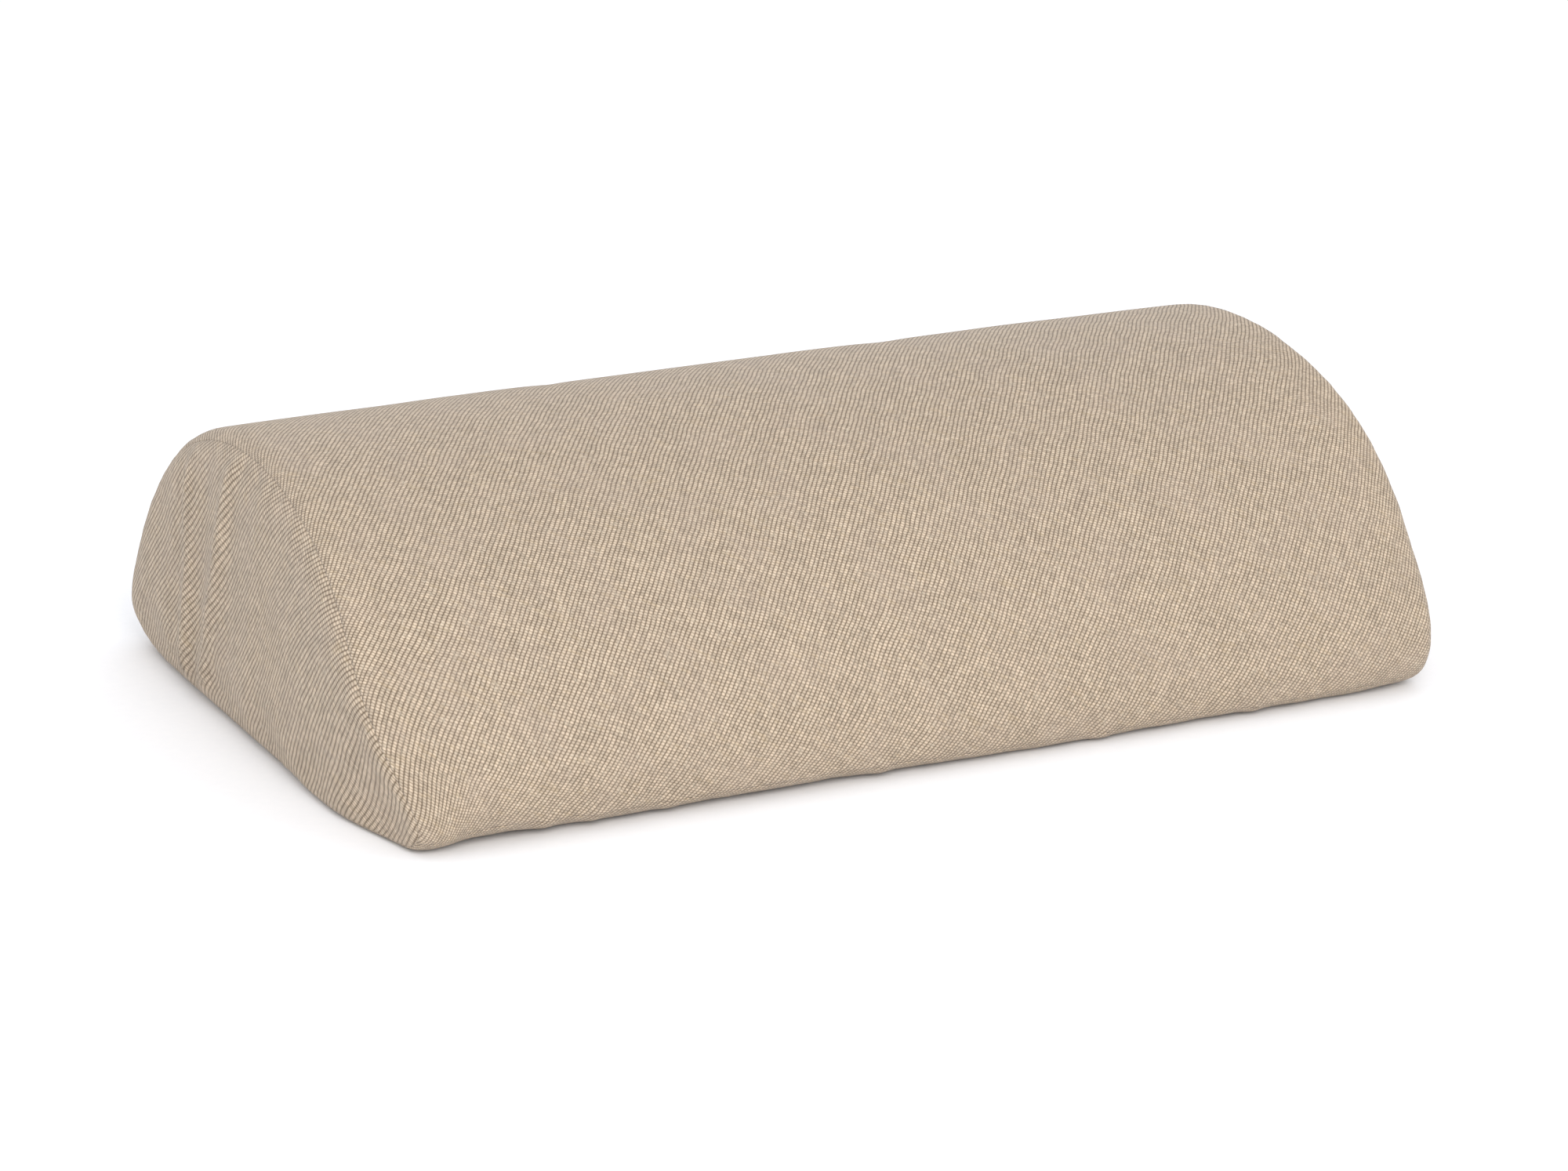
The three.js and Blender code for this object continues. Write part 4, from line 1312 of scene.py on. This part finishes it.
class CUSHION_OT_stitching(bpy.types.Operator):
    """Runs the topstitching along both edges of the zip's opening and across its ends"""

    bl_idname = "cushion.stitching"
    bl_label = "Topstitching"

    def execute(self, context):
        zipper = context.scene.cushion_zip
        material = twisted_thread()
        cloths = ["woven_wrap_panel", "woven_rear_strip", "woven_end_tab_left", "woven_end_tab_right"]
        tree = surface_trees(cloths)
        out = zip_axes()[1]
        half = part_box("zip_end_tab_right")[0].x
        beside = zipper.opening / 2 + 2.4 * MM  # from the zip's line to the topstitching
        for side, sign in (("upper", 1), ("lower", -1)):
            count = int((2 * half + 8 * MM) / zipper.stitch)
            run = [((k + 0.5 - count / 2) * zipper.stitch, sign * beside, 1, 0) for k in range(count)]
            self.sew(f"zip_topstitching_{side}", run, tree, out, zipper, material)
        for side, sign in (("left", -1), ("right", 1)):
            count = int(2 * beside / (zipper.stitch * 0.8))
            run = [
                (sign * (half + row * MM), (k + 0.5 - count / 2) * 2 * beside / count, 0, 1)
                for row in (2.2, 4.4)
                for k in range(count)
            ]
            self.sew(f"zip_end_stitching_{side}", run, tree, out, zipper, material)
        return {"FINISHED"}

    def sew(self, name, run, tree, out, zipper, material):
        """Lays each stitch on the cloth, as a short thread whose ends dive into it."""
        parts = []
        for x, upward, along_x, along_up in run:
            path = []
            for share in np.linspace(-1, 1, 7):
                step = share * zipper.stitch * 0.4
                place = frame_point(x + along_x * step, 12 * MM, upward + along_up * step)
                hit, way, _, _ = tree.ray_cast(place, -out)
                if hit is None:
                    continue
                path.append(hit + way * (0.3 * (1 - share**4) - 0.12) * zipper.thread)
            if len(path) == 7:
                taper = zipper.thread / 2 * np.array([0.6, 0.9, 1, 1, 1, 0.9, 0.6])
                parts.append(tube(path, taper, 8, out))
        show(name, joined(parts), material)


class CUSHION_OT_label(bpy.types.Operator):
    """Sews in the blank care label, a folded satin strip that lies on the rear face"""

    bl_idname = "cushion.label"
    bl_label = "Care label"

    def execute(self, context):
        material = fine_weave(
            "woven_satin_ribbon",
            rib=0.35 * MM,
            pick=0.8 * MM,
            thread="E9E4D8",
            gap="D2CBBC",
            roughness=0.42,
            sheen=0.3,
            relief=0.05 * MM,
        )
        low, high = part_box("care_label")
        tree = surface_trees(["woven_wrap_panel", "woven_end_panel_right"])
        middle = (low + high) / 2
        up = Vector((0, low.y - high.y, high.z - low.z)).normalized()
        out = Vector((0, up.z, -up.y))
        width = math.hypot(high.y - low.y, high.z - low.z)
        columns_x, rows_up = 25, 13
        layers = []
        for lift in (0.95, 0.3):  # the strip's outer and inner face above the cloth, in mm
            for x in np.linspace(high.x, low.x, columns_x):
                loose = (high.x - x) / (high.x - low.x)
                for k in range(rows_up):
                    upward = (k / (rows_up - 1) - 0.5) * width
                    start = Vector((x, middle.y, middle.z)) + out * 30 * MM + up * upward
                    hit, _, _, _ = tree.ray_cast(start, -out)
                    hit = hit or start - out * 30 * MM
                    # The loose end curls away from the cloth, most at its lower corner.
                    curl = 1.6 * MM * loose**2.4 * (1 - 0.35 * (k / (rows_up - 1)))
                    layers.append(hit + out * (lift * MM + curl))
        places = [(p.x, (p - middle).dot(up)) for p in layers]
        mesh = thin_sheet(layers, places, columns_x, rows_up)
        piece = show("satin_care_label", mesh, material, replaces=("care_label",))
        return {"FINISHED"}


OPERATORS = (
    CUSHION_OT_stage,
    CUSHION_OT_form,
    CUSHION_OT_cover,
    CUSHION_OT_liner,
    CUSHION_OT_foam,
    CUSHION_OT_zip,
    CUSHION_OT_stitching,
    CUSHION_OT_label,
)


class VIEW3D_PT_cushion(bpy.types.Panel):
    """Lists the cushion's pieces in the order that they are made"""

    bl_label = "Lumbar cushion"
    bl_space_type = "VIEW_3D"
    bl_region_type = "UI"
    bl_category = "Cushion"

    def draw(self, context):
        for operator in OPERATORS:
            self.layout.operator(operator.bl_idname)


GROUPS = {
    "cushion_shape": CushionShape,
    "cushion_cloth": CushionCloth,
    "cushion_zip": CushionZip,
    "cushion_stage": CushionStage,
}


def register():
    for group in (*GROUPS.values(), *OPERATORS, VIEW3D_PT_cushion):
        bpy.utils.register_class(group)
    for name, group in GROUPS.items():
        setattr(bpy.types.Scene, name, bpy.props.PointerProperty(type=group))


def unregister():
    for name in GROUPS:
        delattr(bpy.types.Scene, name)
    for group in (VIEW3D_PT_cushion, *reversed(OPERATORS), *reversed(tuple(GROUPS.values()))):
        bpy.utils.unregister_class(group)


def main():
    register()
    for operator in OPERATORS:
        family, name = operator.bl_idname.split(".")
        getattr(getattr(bpy.ops, family), name)()


if __name__ == "__main__":
    main()
